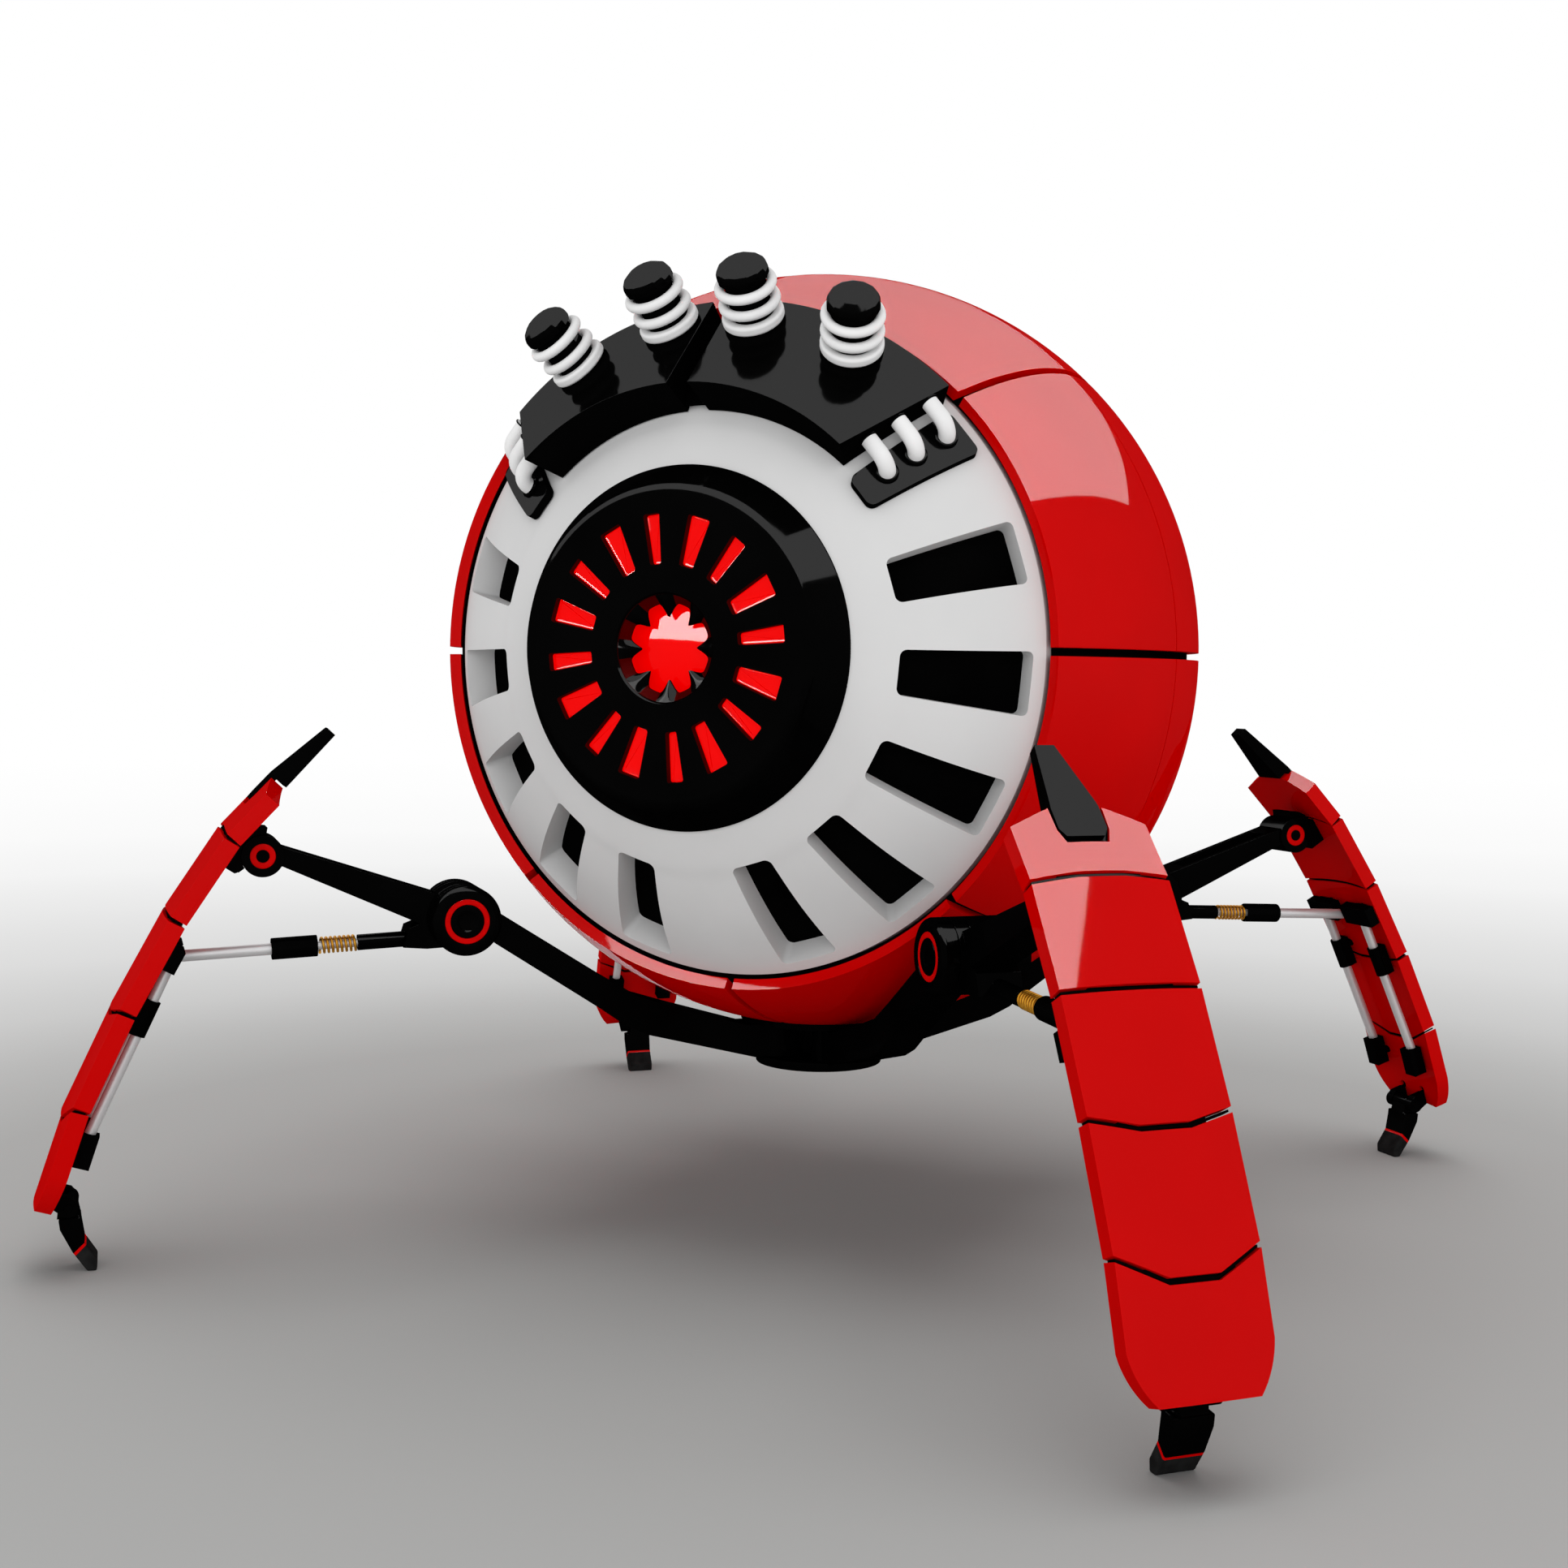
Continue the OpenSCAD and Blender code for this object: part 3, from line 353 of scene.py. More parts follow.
def settleLegs(master, name, bodyPart, slotName, node):
    # one leg is modelled along X, then copied to the four legs
    for leg, turn in zip(legNames, legTurns):
        piece = moved(copied(master, f"{leg}_{name}"), turnedBy(turn))
        settle(piece, f"{leg}_{bodyPart}", slotName, f"{leg}_{node}")
    bpy.data.objects.remove(master)
    print(name, "on four legs")


def legCopy(node, name, merge=0.6):
    return moved(copyOfNode(f"front_right_{node}", name, merge), turnedBy(45))


# height of the shell's centre; centre and radius of the face's curve, out along the face's own axis
shellZ = 181.557
faceCentre, faceRadius = -27.025, 132


def onFace(piece):
    return moved(piece, shifted(0, 0, shellZ) @ turnedBy(90, "X"))


def faceHeight(rho):
    return faceCentre + math.sqrt(faceRadius ** 2 - rho ** 2)


# shell: eight front panels, eight rear panels and the back cap
shell = {"radius": 120, "thick": 3.4, "gap": 2.4, "seam": 11, "seamGap": 0.5, "front": 65.447, "edge": 0.9,
         "edgeSteps": 4, "edgeAngle": 50, "capRadius": 40, "hubHole": 26, "hubSides": 96, "hubTall": 40, "hubAt": 72.4,
         "segments": 192, "rings": 120}


def cutSphere(name, planes):
    # planes: a point on each plane and the way that is kept
    bpy.ops.object.select_all(action="DESELECT")
    bpy.ops.mesh.primitive_uv_sphere_add(segments=shell["segments"], ring_count=shell["rings"],
                                         radius=shell["radius"] * mm)
    piece = bpy.context.object
    piece.name = name
    for point, way in planes:
        pick(piece, "FACE", lambda face: True)
        bpy.ops.mesh.bisect(plane_co=[p * mm for p in point], plane_no=way, clear_inner=True)
    leaveEdit()
    return piece


def shellPanels(name, low, high, node):
    half = shell["gap"] / 2
    slope = math.sqrt(0.5)
    planes = [((half, 0, 0), (1, 0, 0)), ((-half * slope, half * slope, 0), (-slope, slope, 0)),
              ((0, 0, low), (0, 0, 1)), ((0, 0, high), (0, 0, -1))]
    panel = cutSphere(name, planes)
    modify(panel, "SOLIDIFY", thickness=shell["thick"] * mm, offset=-1)
    ring = [panel] + [moved(copied(panel, name), turnedBy(eighth * k)) for k in range(1, 8)]
    panels = onFace(joined(ring, name))
    bpy.ops.mesh.primitive_cylinder_add(vertices=shell["hubSides"], radius=shell["hubHole"] * mm,
                                        depth=shell["hubTall"] * mm, location=(0, 0, shell["hubAt"] * mm))
    cutWith(panels, bpy.context.object)
    soften(panels, shell["edge"], shell["edgeSteps"], shell["edgeAngle"])
    settle(painted(panels, redLacquer), "body", "red_gloss", node)
    print(name, len(panels.data.polygons), "faces")


shellPanels("shell_front", shell["seam"] + shell["seamGap"] / 2, shell["front"], "front_panels")
rearEdge = -math.sqrt(shell["radius"] ** 2 - (shell["capRadius"] + shell["gap"]) ** 2)
shellPanels("shell_rear", rearEdge, shell["seam"] - shell["seamGap"] / 2, "rear_panels")

capEdge = -math.sqrt(shell["radius"] ** 2 - shell["capRadius"] ** 2)
backCap = cutSphere("shell_back_cap", [((0, 0, capEdge), (0, 0, -1))])
modify(backCap, "SOLIDIFY", thickness=shell["thick"] * mm, offset=-1)
onFace(backCap)
soften(backCap, shell["edge"], shell["edgeSteps"], shell["edgeAngle"])
settle(painted(backCap, redLacquer), "body", "red_gloss", "rear_cap")
print("shell done")


# face: white dome with ten slots
face = {"rim": 96.4, "hole": 46, "thick": 9, "slotIn": 64.3, "slotOut": 94.28, "slotAngle": 11, "slotCorner": 1.9,
        "slots": [73, 95.5, 118, 140.5, 163], "crease": 63.5, "creaseRun": 1.6, "creaseEnd": 80, "creaseFade": 12,
        "creaseDepth": 0.35, "edge": 0.8, "steps": 36, "sides": 256}
wedgeSet = {"tall": 27, "sunk": 4.5, "cornerSteps": 6}


def faceWedge(rhoIn, rhoOut, angle, corner):
    # a round cornered wedge that stands square to the face
    mid = (rhoIn + rhoOut) / 2
    long = math.hypot(rhoOut - rhoIn, faceHeight(rhoIn) - faceHeight(rhoOut))
    half = math.sin(math.radians(angle / 2))
    bpy.ops.object.select_all(action="DESELECT")
    bpy.ops.mesh.primitive_cube_add(size=1, scale=(long * mm, 2 * half * rhoIn * mm, wedgeSet["tall"] * mm))
    wedge = bpy.context.object
    applyPlace(wedge)
    pick(wedge, "VERT", lambda point: point.co.x > 0)
    bpy.ops.transform.resize(value=(1, rhoOut / rhoIn, 1))
    roundUpright(wedge, wedgeSet["tall"], corner, wedgeSet["cornerSteps"])
    lean = math.degrees(math.asin(mid / faceRadius))
    return moved(wedge, shifted(mid, 0, faceHeight(mid)) @ turnedBy(lean, "Y") @ shifted(0, 0, -wedgeSet["sunk"]))


def bowlOutline(rhoIn, rhoOut, low, high, steps):
    # ring outline between two heights above the face
    rhos = [rhoIn + (rhoOut - rhoIn) * i / steps for i in range(steps + 1)]
    top, under = ([(rho, faceCentre + math.sqrt((faceRadius + lift) ** 2 - rho ** 2)) for rho in rhos]
                  for lift in (high, low))
    return top + under[::-1] + [top[0]]


def faceOutline():
    # the front sinks a little beyond the crease, and rises again further out
    inner = faceRadius - face["thick"]
    rhos = [face["hole"] + (face["rim"] - face["hole"]) * i / face["steps"] for i in range(face["steps"] + 1)]
    front = []
    for rho in rhos:
        fall = max(0, min(1, (rho - face["crease"]) / face["creaseRun"]))
        sink = fall * max(0, min(1, (face["creaseEnd"] - rho) / face["creaseFade"]))
        front.append((rho, faceHeight(rho) - face["creaseDepth"] * sink))
    back = [(rho, faceCentre + math.sqrt(inner ** 2 - rho ** 2)) for rho in reversed(rhos)]
    return front + back + [front[0]]


dome = turnOnLathe("face_white", faceOutline(), face["sides"])
slotCutter = faceWedge(face["slotIn"], face["slotOut"], face["slotAngle"], face["slotCorner"])
cutters = []
for place in face["slots"]:
    for side in (1, -1):
        cutters.append(moved(copied(slotCutter, "slot"), turnedBy(90 - side * place)))
bpy.data.objects.remove(slotCutter)
cutWith(dome, joined(cutters, "slots"))
onFace(dome)
soften(dome, face["edge"], 3, 40)
settle(painted(dome, whiteMatte), "body", "white_matte", "face_dome")
print("face done", len(dome.data.polygons))


# eye: bezel, petalled funnel, lit inserts and lens
eye = {"rim": 51.6, "inner": 41.5, "top": 106.17, "plate": 102.17, "hole": 15, "holeEdge": (0.5, 0.6), "flat": 42.4,
       "brim": [(46.0, 104.1), (45.4, 105.1), (44.5, 105.8), (43.3, 106.12)], "skirt": 45.8, "skirtLow": 86.6,
       "seat": 0.2, "lip": 0.8, "edge": 0.45, "sides": 192, "slotIn": 23.2, "slotOut": 37.3, "corner": 0.7,
       "cornerSteps": 4, "slotKinds": [(2.2, 3.5, -17.2), (1.7, 2.55, 6.3)], "wallTilt": 0.3, "wallDrop": 0.4,
       "wallRoom": 0.5}


def eyeSlot(wideIn, wideOut, turn, low, high, shrink):
    deep = high - low
    long = eye["slotOut"] - eye["slotIn"] - 2 * shrink
    bpy.ops.object.select_all(action="DESELECT")
    bpy.ops.mesh.primitive_cube_add(size=1, scale=(long * mm, 2 * (wideIn - shrink) * mm, deep * mm))
    block = bpy.context.object
    applyPlace(block)
    pick(block, "VERT", lambda point: point.co.x > 0)
    bpy.ops.transform.resize(value=(1, (wideOut - shrink) / (wideIn - shrink), 1))
    roundUpright(block, deep, eye["corner"], eye["cornerSteps"])
    mid = (eye["slotIn"] + eye["slotOut"]) / 2
    return moved(block, turnedBy(turn) @ shifted(mid, 0, (low + high) / 2))


def eyeSlots(low, high, shrink):
    # slotKinds: half width at the inner and the outer end, and turn from the top
    blocks = []
    for k in range(8):
        for wideIn, wideOut, turn in eye["slotKinds"]:
            blocks.append(eyeSlot(wideIn, wideOut, 90 + turn - eighth * k, low, high, shrink))
    return joined(blocks, "eyeSlots")


rimLow, skirtTop = (faceHeight(eye[k]) + eye["seat"] for k in ("rim", "skirt"))
holeWide, holeDrop = eye["holeEdge"]
eyeOutline = [(eye["inner"], eye["plate"]), (eye["inner"], eye["skirtLow"]), (eye["skirt"], eye["skirtLow"]),
              (eye["skirt"], skirtTop), (eye["rim"], rimLow), (eye["rim"], rimLow + eye["lip"])]
eyeOutline += eye["brim"]
eyeOutline += [(eye["flat"], eye["top"]), (eye["hole"] + holeWide, eye["top"]), (eye["hole"], eye["top"] - holeDrop),
               (eye["hole"], eye["plate"]), (eye["inner"], eye["plate"])]
bezel = turnOnLathe("eye_bezel", eyeOutline, eye["sides"])
cutWith(bezel, eyeSlots(eye["plate"] - 1, eye["top"] + 1, 0))
soften(bezel, eye["edge"], 3, 30)
painted(bezel, blackGloss, paintedGlowRed)
# painted red glow: upright faces of the slot walls and of the hole's mouth get the dark red finish, standing in for
# light from the inserts
for item in bezel.data.polygons:
    rho, level = math.hypot(item.center.x, item.center.y) / mm, item.center.z / mm
    paintedGlowWall = abs(item.normal.z) < eye["wallTilt"] and eye["plate"] < level < eye["top"] - eye["wallDrop"]
    item.material_index = int(paintedGlowWall and eye["hole"] - eye["wallRoom"] < rho < eye["slotOut"] + eye["wallRoom"])

# funnel from the round mouth to the petalled hole: its eight teeth are drawn in towards the axis
funnel = {"outer": 15.3, "low": 102.2, "top": 105.3, "mouth": 14.9, "mid": (13.9, 104.3), "foot": 102.9, "tip": 12.7,
          "tooth": [1, 0.92, 0.78, 0.61, 0.43, 0.26, 0.12, 0.03], "midDraw": 0.13, "footDraw": 0.31, "room": 0.2,
          "turnRoom": 0.5, "wallFrom": 12, "wallLow": 0.1, "sides": 192, "turn": 1}
flower = turnOnLathe("eye_petal_ring", [(funnel["outer"], funnel["low"]), (funnel["outer"], funnel["top"]),
                                        (funnel["mouth"], funnel["top"]), funnel["mid"],
                                        (funnel["tip"], funnel["foot"]), (funnel["tip"], funnel["low"]),
                                        (funnel["outer"], funnel["low"])], funnel["sides"])


def offTooth(place):
    # degrees from the middle of the nearest tooth
    turn = math.degrees(math.atan2(place.y, place.x)) % eighth
    return min(turn, eighth - turn)


sideStep = 360 / funnel["sides"]
footEnd, midEnd = funnel["tip"] + funnel["room"], funnel["mid"][0] + funnel["room"]
for step, share in enumerate(funnel["tooth"]):
    for near, far, draw in ((0, footEnd, funnel["footDraw"]), (footEnd, midEnd, funnel["midDraw"])):
        pick(flower, "VERT", lambda point: near < point.co.xy.length / mm < far
             and abs(offTooth(point.co) - step * sideStep) < funnel["turnRoom"])
        bpy.ops.transform.resize(value=(1 - draw * share, 1 - draw * share, 1), center_override=(0, 0, 0))
        leaveEdit()
smooth(flower, 35)
painted(flower, blackGloss, paintedGlowRed)
# painted red glow: the petals' walls inside the mouth, away from the teeth, get the dark red finish in place of red
# light from the lens
for item in flower.data.polygons:
    paintedGlowPetal = offTooth(item.center) > funnel["wallFrom"] and item.center.xy.length / mm < funnel["mouth"]
    item.material_index = int(paintedGlowPetal and item.center.z / mm > funnel["low"] + funnel["wallLow"])
moved(flower, turnedBy(funnel["turn"]))
for part in (bezel, flower):
    settle(onFace(part), "body", "black_gloss", "eye_housing")
lensPieces.objects.link(flower)

insert = {"deep": 2.6, "top": 104.5, "gap": 0.12, "upright": 0.9, "dishRim": 0.9, "dishDepth": 0.2, "edge": 0.4,
          "backIn": 17.5, "backOut": 41.3, "backLow": 99.4, "backTop": 101.9, "backEdge": 0.3, "sides": 128}
inserts = eyeSlots(eye["plate"] - insert["deep"], insert["top"], insert["gap"])
# the inserts are slightly dished, so that their lower edges catch the light
pick(inserts, "FACE", lambda item: item.normal.z > insert["upright"])
bpy.ops.mesh.inset(thickness=insert["dishRim"] * mm, depth=-insert["dishDepth"] * mm)
leaveEdit()
soften(inserts, insert["edge"], 3, 40)
ringBack = turnOnLathe("eye_ring_back", ringOutline(insert["backIn"], insert["backOut"], insert["backLow"],
                                                    insert["backTop"]), insert["sides"])
soften(ringBack, insert["backEdge"], 2, 40)
lightRing = onFace(joined([inserts, ringBack], "eye_light_ring"))
settle(painted(lightRing, redLens), "body", "red_lens", "eye_diffuser")

lensSet = {"radius": 17.2, "top": 101.8, "rise": 4.5, "foot": 90.7, "steps": 16, "sides": 128}
lensCurve = (lensSet["radius"] ** 2 + lensSet["rise"] ** 2) / (2 * lensSet["rise"])
lensOutline = [(0, lensSet["foot"]), (lensSet["radius"], lensSet["foot"])]
for i in range(lensSet["steps"] + 1):
    rho = lensSet["radius"] * (1 - i / lensSet["steps"])
    lensOutline.append((rho, lensSet["top"] - lensCurve + math.sqrt(lensCurve ** 2 - rho ** 2)))
lens = onFace(turnOnLathe("eye_lens_red", lensOutline, lensSet["sides"]))
smooth(lens)
settle(painted(lens, redLens), "body", "red_lens", "eye_lens")
print("eye done")


# brow: blocks, posts, rings, pads and hoses
brow = {"inner": (67.6, 86.584), "topIn": (73.834, 99.771), "topOut": (101.154, 71.869), "outer": (95.228, 64.673),
        "split": 6.6, "endAngle": 48, "endSet": 7.1, "seat": 0.2, "bridge": 6, "bridgeSet": 3.2, "edge": 0.8,
        "steps": 10, "sides": 256}
pad = {"in": 66.03, "out": 94.35, "from": 46, "to": 55, "low": 0.2, "high": 2.7, "corner": 2.2, "edge": 0.6,
       "blank": (60, 98), "steps": 20}


def keepSide(piece, point, way):
    pick(piece, "FACE", lambda item: True)
    bpy.ops.mesh.bisect(plane_co=[p * mm for p in point], plane_no=way, use_fill=True, clear_inner=True)
    leaveEdit()


def mirrored(piece):
    twin = moved(copied(piece, piece.name), Matrix.Diagonal((-1, 1, 1, 1)))
    pick(twin, "FACE", lambda item: True)
    bpy.ops.mesh.normals_make_consistent(inside=False)
    leaveEdit()
    return twin


# the arc on which the block is seated, without its two ends
seatArc = bowlOutline(brow["inner"][0], brow["outer"][0], brow["seat"], brow["seat"], brow["steps"])
seatArc = seatArc[brow["steps"] + 2:-2]
block = turnOnLathe("brow", [brow["inner"], brow["topIn"], brow["topOut"], brow["outer"]] + seatArc + [brow["inner"]],
                    brow["sides"])
endTurn = math.radians(brow["endAngle"])
endWay = Vector((-math.cos(endTurn), math.sin(endTurn), 0))
keepSide(block, (brow["split"] / 2, 0, 0), (1, 0, 0))
keepSide(block, endWay * brow["endSet"], endWay)
bridge = turnOnLathe("bridge", bowlOutline(pad["in"] + brow["bridgeSet"], pad["out"], pad["low"], pad["high"],
                                           brow["steps"]), brow["sides"])
for point, way in (((brow["bridge"], 0, 0), (-1, 0, 0)), ((-brow["bridge"], 0, 0), (1, 0, 0)), ((0, 0, 0), (0, 1, 0))):
    keepSide(bridge, point, way)
twinBlock = mirrored(block)
for part in (block, twinBlock, bridge):
    soften(part, brow["edge"], 4, 30)
browPair = onFace(joined([block, twinBlock, bridge], "brow_pair"))
settle(painted(browPair, blackGloss), "body", "black_gloss", "brow_blocks")

# capCurve: share of the radius, and drop from the top
post = {"places": [8.2, 27.6, -8.2, -27.6], "at": (94.54, 78.62), "tilt": 45.6, "lift": 0.1, "height": 19.8,
        "radius": 7.5, "stem": 6, "stemSides": 48, "neck": (1, 0.3), "cap": 6.2, "capFlare": 0.6, "capSides": 14,
        "capCurve": [(1, 3.6), (0.93, 2.3), (0.62, 0.7), (0.3, 0.15)], "capEdge": 0.35, "capAngle": 18, "capShade": 22,
        "ring": 9, "ringGap": 0.1, "ringSides": 64, "collar": 2.9, "collarEdge": 0.9, "bead": 1.45, "beadSides": 20,
        "beadsAt": [6.11, 11.46]}


def onPosts(master, name):
    twins = []
    for place in post["places"]:
        lean = shifted(post["at"][0], 0, post["at"][1]) @ turnedBy(post["tilt"], "Y") @ shifted(0, 0, post["lift"])
        twins.append(moved(copied(master, name), turnedBy(90 - place) @ lean))
    bpy.data.objects.remove(master)
    return onFace(joined(twins, name))


top = post["height"]
capLow = top - post["cap"]
neckIn, neckUp = post["neck"]
stemPart = turnOnLathe("post", [(0, 0), (post["stem"], 0), (post["stem"], capLow),
                                (post["stem"] - neckIn, capLow + neckUp), (0, capLow + neckUp)], post["stemSides"])
smooth(stemPart)
capOutline = [(0, capLow), (post["stem"], capLow), (post["radius"], capLow + post["capFlare"])]
capOutline += [(part * post["radius"], top - drop) for part, drop in post["capCurve"]]
capPart = turnOnLathe("cap", capOutline + [(0, top)], post["capSides"])
modify(capPart, "BEVEL", width=post["capEdge"] * mm, segments=2, limit_method="ANGLE",
       angle_limit=math.radians(post["capAngle"]))
smooth(capPart, post["capShade"])
posts = onPosts(joined([stemPart, capPart], "post"), "brow_posts")
settle(painted(posts, blackGloss), "body", "black_gloss", "knob_posts")

collarPart = turnOnLathe("collar", ringOutline(post["stem"] + post["ringGap"], post["ring"], 0, post["collar"]),
                         post["ringSides"])
soften(collarPart, post["collarEdge"], 4, 40)
beads = [collarPart]
for middle in post["beadsAt"]:
    bpy.ops.mesh.primitive_torus_add(major_segments=post["ringSides"], minor_segments=post["beadSides"],
                                     major_radius=(post["ring"] - post["bead"]) * mm,
                                     minor_radius=post["bead"] * mm, location=(0, 0, middle * mm))
    applyPlace(bpy.context.object)
    smooth(bpy.context.object)
    beads.append(bpy.context.object)
rings = onPosts(joined(beads, "beads"), "brow_rings")
settle(painted(rings, whiteRubber), "body", "white_rubber", "knob_rings")

hose = {"places": [73.5, 81.2, 89.1], "angle": 50, "diameter": 4.8, "rise": 3, "bend": 4.5, "bendSteps": 12,
        "foot": 2.8, "short": 0.1, "sides": 28}
# heights of a collar: foot, edge of the brim, and top at the hose
grommet = {"grip": 0.05, "brim": 3.3, "heights": (2.75, 3.25, 3.6), "endBrim": 2.8, "endHeights": (0, 0.4, 0.7),
           "edge": 0.2, "sides": 40}
pads = turnOnLathe("hose_pads", bowlOutline(*pad["blank"], pad["low"], pad["high"], pad["steps"]), brow["sides"])
wedges = []
for side in (1, -1):
    wedge = faceWedge(pad["in"], pad["out"], pad["to"] - pad["from"], pad["corner"])
    wedges.append(moved(wedge, turnedBy(90 - side * (pad["from"] + pad["to"]) / 2)))
modify(pads, "BOOLEAN", object=joined(wedges, "wedges"), operation="INTERSECT", solver="EXACT")
bpy.data.objects.remove(wedges[0])
soften(pads, pad["edge"], 3, 40)
onFace(pads)


def turnGrommet(brim, low, edge, high):
    bore = hose["diameter"] / 2 - grommet["grip"]
    ring = turnOnLathe("grommet", [(bore, low), (brim, low), (brim, edge), (bore, high), (bore, low)], grommet["sides"])
    soften(ring, grommet["edge"], 2, 30)
    return ring


hoseParts, collarParts = [], []
for rho in hose["places"]:
    reach = brow["endSet"] + rho * math.sin(math.radians(hose["angle"] - brow["endAngle"])) - hose["short"]
    bpy.ops.object.select_all(action="DESELECT")
    bpy.ops.mesh.primitive_circle_add(vertices=hose["sides"], radius=hose["diameter"] / 2 * mm, fill_type="NGON",
                                      location=(0, 0, hose["foot"] * mm))
    tube = bpy.context.object
    applyPlace(tube)
    bpy.ops.object.mode_set(mode="EDIT")
    bpy.ops.mesh.select_mode(type="EDGE")
    bpy.ops.mesh.select_all(action="SELECT")
    bpy.ops.mesh.extrude_edges_move(TRANSFORM_OT_translate={"value": (0, 0, (hose["rise"] - hose["foot"]) * mm)})
    bpy.ops.mesh.spin(steps=hose["bendSteps"], angle=math.pi / 2, center=(0, hose["bend"] * mm, hose["rise"] * mm),
                      axis=(1, 0, 0))
    bpy.ops.mesh.extrude_edges_move(TRANSFORM_OT_translate={"value": (0, (reach - hose["bend"]) * mm, 0)})
    bpy.ops.mesh.edge_face_add()
    bpy.ops.mesh.select_all(action="SELECT")
    bpy.ops.mesh.remove_doubles(threshold=weld * mm)
    bpy.ops.mesh.normals_make_consistent(inside=False)
    leaveEdit()
    smooth(tube)
    collar = turnGrommet(grommet["brim"], *grommet["heights"])
    endCollar = turnGrommet(grommet["endBrim"], *grommet["endHeights"])
    moved(endCollar, shifted(0, reach - grommet["grip"], hose["rise"] + hose["bend"]) @ turnedBy(90, "X"))
    collar = joined([collar, endCollar], "grommet")
    lean = shifted(rho, 0, faceHeight(rho)) @ turnedBy(math.degrees(math.asin(rho / faceRadius)), "Y")
    right = turnedBy(90 - hose["angle"]) @ lean
    for part, group in ((tube, hoseParts), (collar, collarParts)):
        group += [moved(part, right), mirrored(part)]
hoseSet = onFace(joined(hoseParts, "brow_hoses"))
settle(painted(hoseSet, whiteRubber), "body", "white_rubber", "hoses")
collarSet = onFace(joined(collarParts, "hose_collars"))
padSet = joined([pads, collarSet], "hose_pads")
settle(painted(padSet, blackGloss), "body", "black_gloss", "hose_plates")
print("brow done")


# hub, and the pieces inside that keep their CAD shape
for node, name, edge in (("hub_base", "hub_column", 0.8), ("hub_cover", "hub_disc", 0.6)):
    hubPart = copyOfNode(node, name)
    soften(hubPart, edge, 3, 35)
    settle(painted(hubPart, blackGloss), "body", "black_gloss", node)
for node, finish in (("core_shell", blackSatin), ("dome_liner", blackSatin), ("led_board", boardGreen),
                     ("hip_motors", motorSteel), ("battery_pack", packBlue), ("control_board", boardGreen)):
    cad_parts[node].data.materials.clear()
    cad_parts[node].data.materials.append(finish)
print("hub done")


# legs, modelled along X; knee and shoulder as distance from the axis and height
knee = (118.3, 99.3068)
shoulder = (177.548, 119.823)
leg = {"armEdge": 0.9, "linkEdge": 0.7, "frameEdge": 0.35, "plateEdge": 0.55, "plateMerge": 0.3, "rodEdge": 0.25,
       "clawEdge": 0.5}

arm = legCopy("hip_arm", "arm")
soften(arm, leg["armEdge"], 3, 30)
settleLegs(painted(arm, blackGloss), "arm", "arm_body", "black_gloss", "hip_arm")

link = legCopy("knee_link", "link")
soften(link, leg["linkEdge"], 3, 30)
settleLegs(painted(link, blackGloss), "link", "link_body", "black_gloss", "knee_link")

for name in legNames:
    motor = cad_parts[f"{name}_knee_motor"]
    motor.data.materials.clear()
    motor.data.materials.append(motorSteel)

cap = {"in": 8.2, "out": 13.3, "radius": 10.6, "brim": [(10.6, 11.6), (10.2, 12.6), (9.3, 13.15), (8.4, 13.3)],
       "dimple": [(3.2, 13.3), (2.6, 12.9), (0, 12.9)], "edge": 0.25, "sides": 72, "ring": (5.1, 6.8), "ringRoom": 0.05,
       "groove": 12.1, "ringOut": 13.1, "shoulderRing": (1.9, 3.7), "shoulderSpan": (6.05, 7.1), "shoulderEdge": 0.2,
       "shoulderSides": 56}


def bothSides(piece):
    # the other side is the same piece turned half round the upright axis through the joint
    twin = copied(piece, piece.name)
    moved(twin, turnedBy(180))
    return joined([piece, twin], piece.name)


low, high = cap["ring"]
grooveIn, grooveOut = low - cap["ringRoom"], high + cap["ringRoom"]
capOutline = [(0, cap["in"]), (cap["radius"], cap["in"])] + cap["brim"]
capOutline += [(grooveOut, cap["out"]), (grooveOut, cap["groove"]), (grooveIn, cap["groove"]), (grooveIn, cap["out"])]
capPiece = turnOnLathe("knee_cap", capOutline + cap["dimple"], cap["sides"])
soften(capPiece, cap["edge"], 2, 30)
kneeRing = turnOnLathe("ring", ringOutline(low, high, cap["groove"], cap["ringOut"]), cap["sides"])
soften(kneeRing, cap["edge"], 3, 30)
kneePart = joined([painted(capPiece, blackGloss), painted(kneeRing, redPaint)], "caps")
kneePart = bothSides(moved(kneePart, turnedBy(-90, "X")))
moved(kneePart, shifted(knee[0], 0, knee[1]))
shoulderRing = turnOnLathe("ring", ringOutline(*cap["shoulderRing"], *cap["shoulderSpan"]), cap["shoulderSides"])
soften(shoulderRing, cap["shoulderEdge"], 3, 30)
shoulderPart = bothSides(moved(painted(shoulderRing, redPaint), turnedBy(-90, "X")))
moved(shoulderPart, shifted(shoulder[0], 0, shoulder[1]))
settleLegs(joined([kneePart, shoulderPart], "caps"), "caps", "link_body", "black_gloss", "knee_caps")

shock = {"pitch": 2.42843, "drop": 5.55, "stub": 31.47, "spring": 11.89, "sleeve": 13.43, "length": 83.92,
         "sleeveRadius": 3.25, "sleeveEdge": 0.35, "sleeveSides": 48, "mouth": 2.75, "seat": (4, 5), "grip": 0.05,
         "rod": 1.75, "guide": 1.3, "rodBack": 9, "rodStep": 4.5, "rodOver": 1, "rodSides": 36,
         "rodTip": [(1.5, 0.9), (0.95, 1.47), (0.4, 1.7), (0, 1.75)], "wire": 0.42, "wireSides": 12, "coil": 2.2,
         "coilFrom": 0.6, "coilShort": 1.3, "coilSteps": 28, "curls": 8}


def onShock(piece):
    return moved(piece, shifted(knee[0], 0, knee[1]) @ turnedBy(shock["pitch"], "Y") @ shifted(0, 0, -shock["drop"])
                 @ turnedBy(90, "Y"))


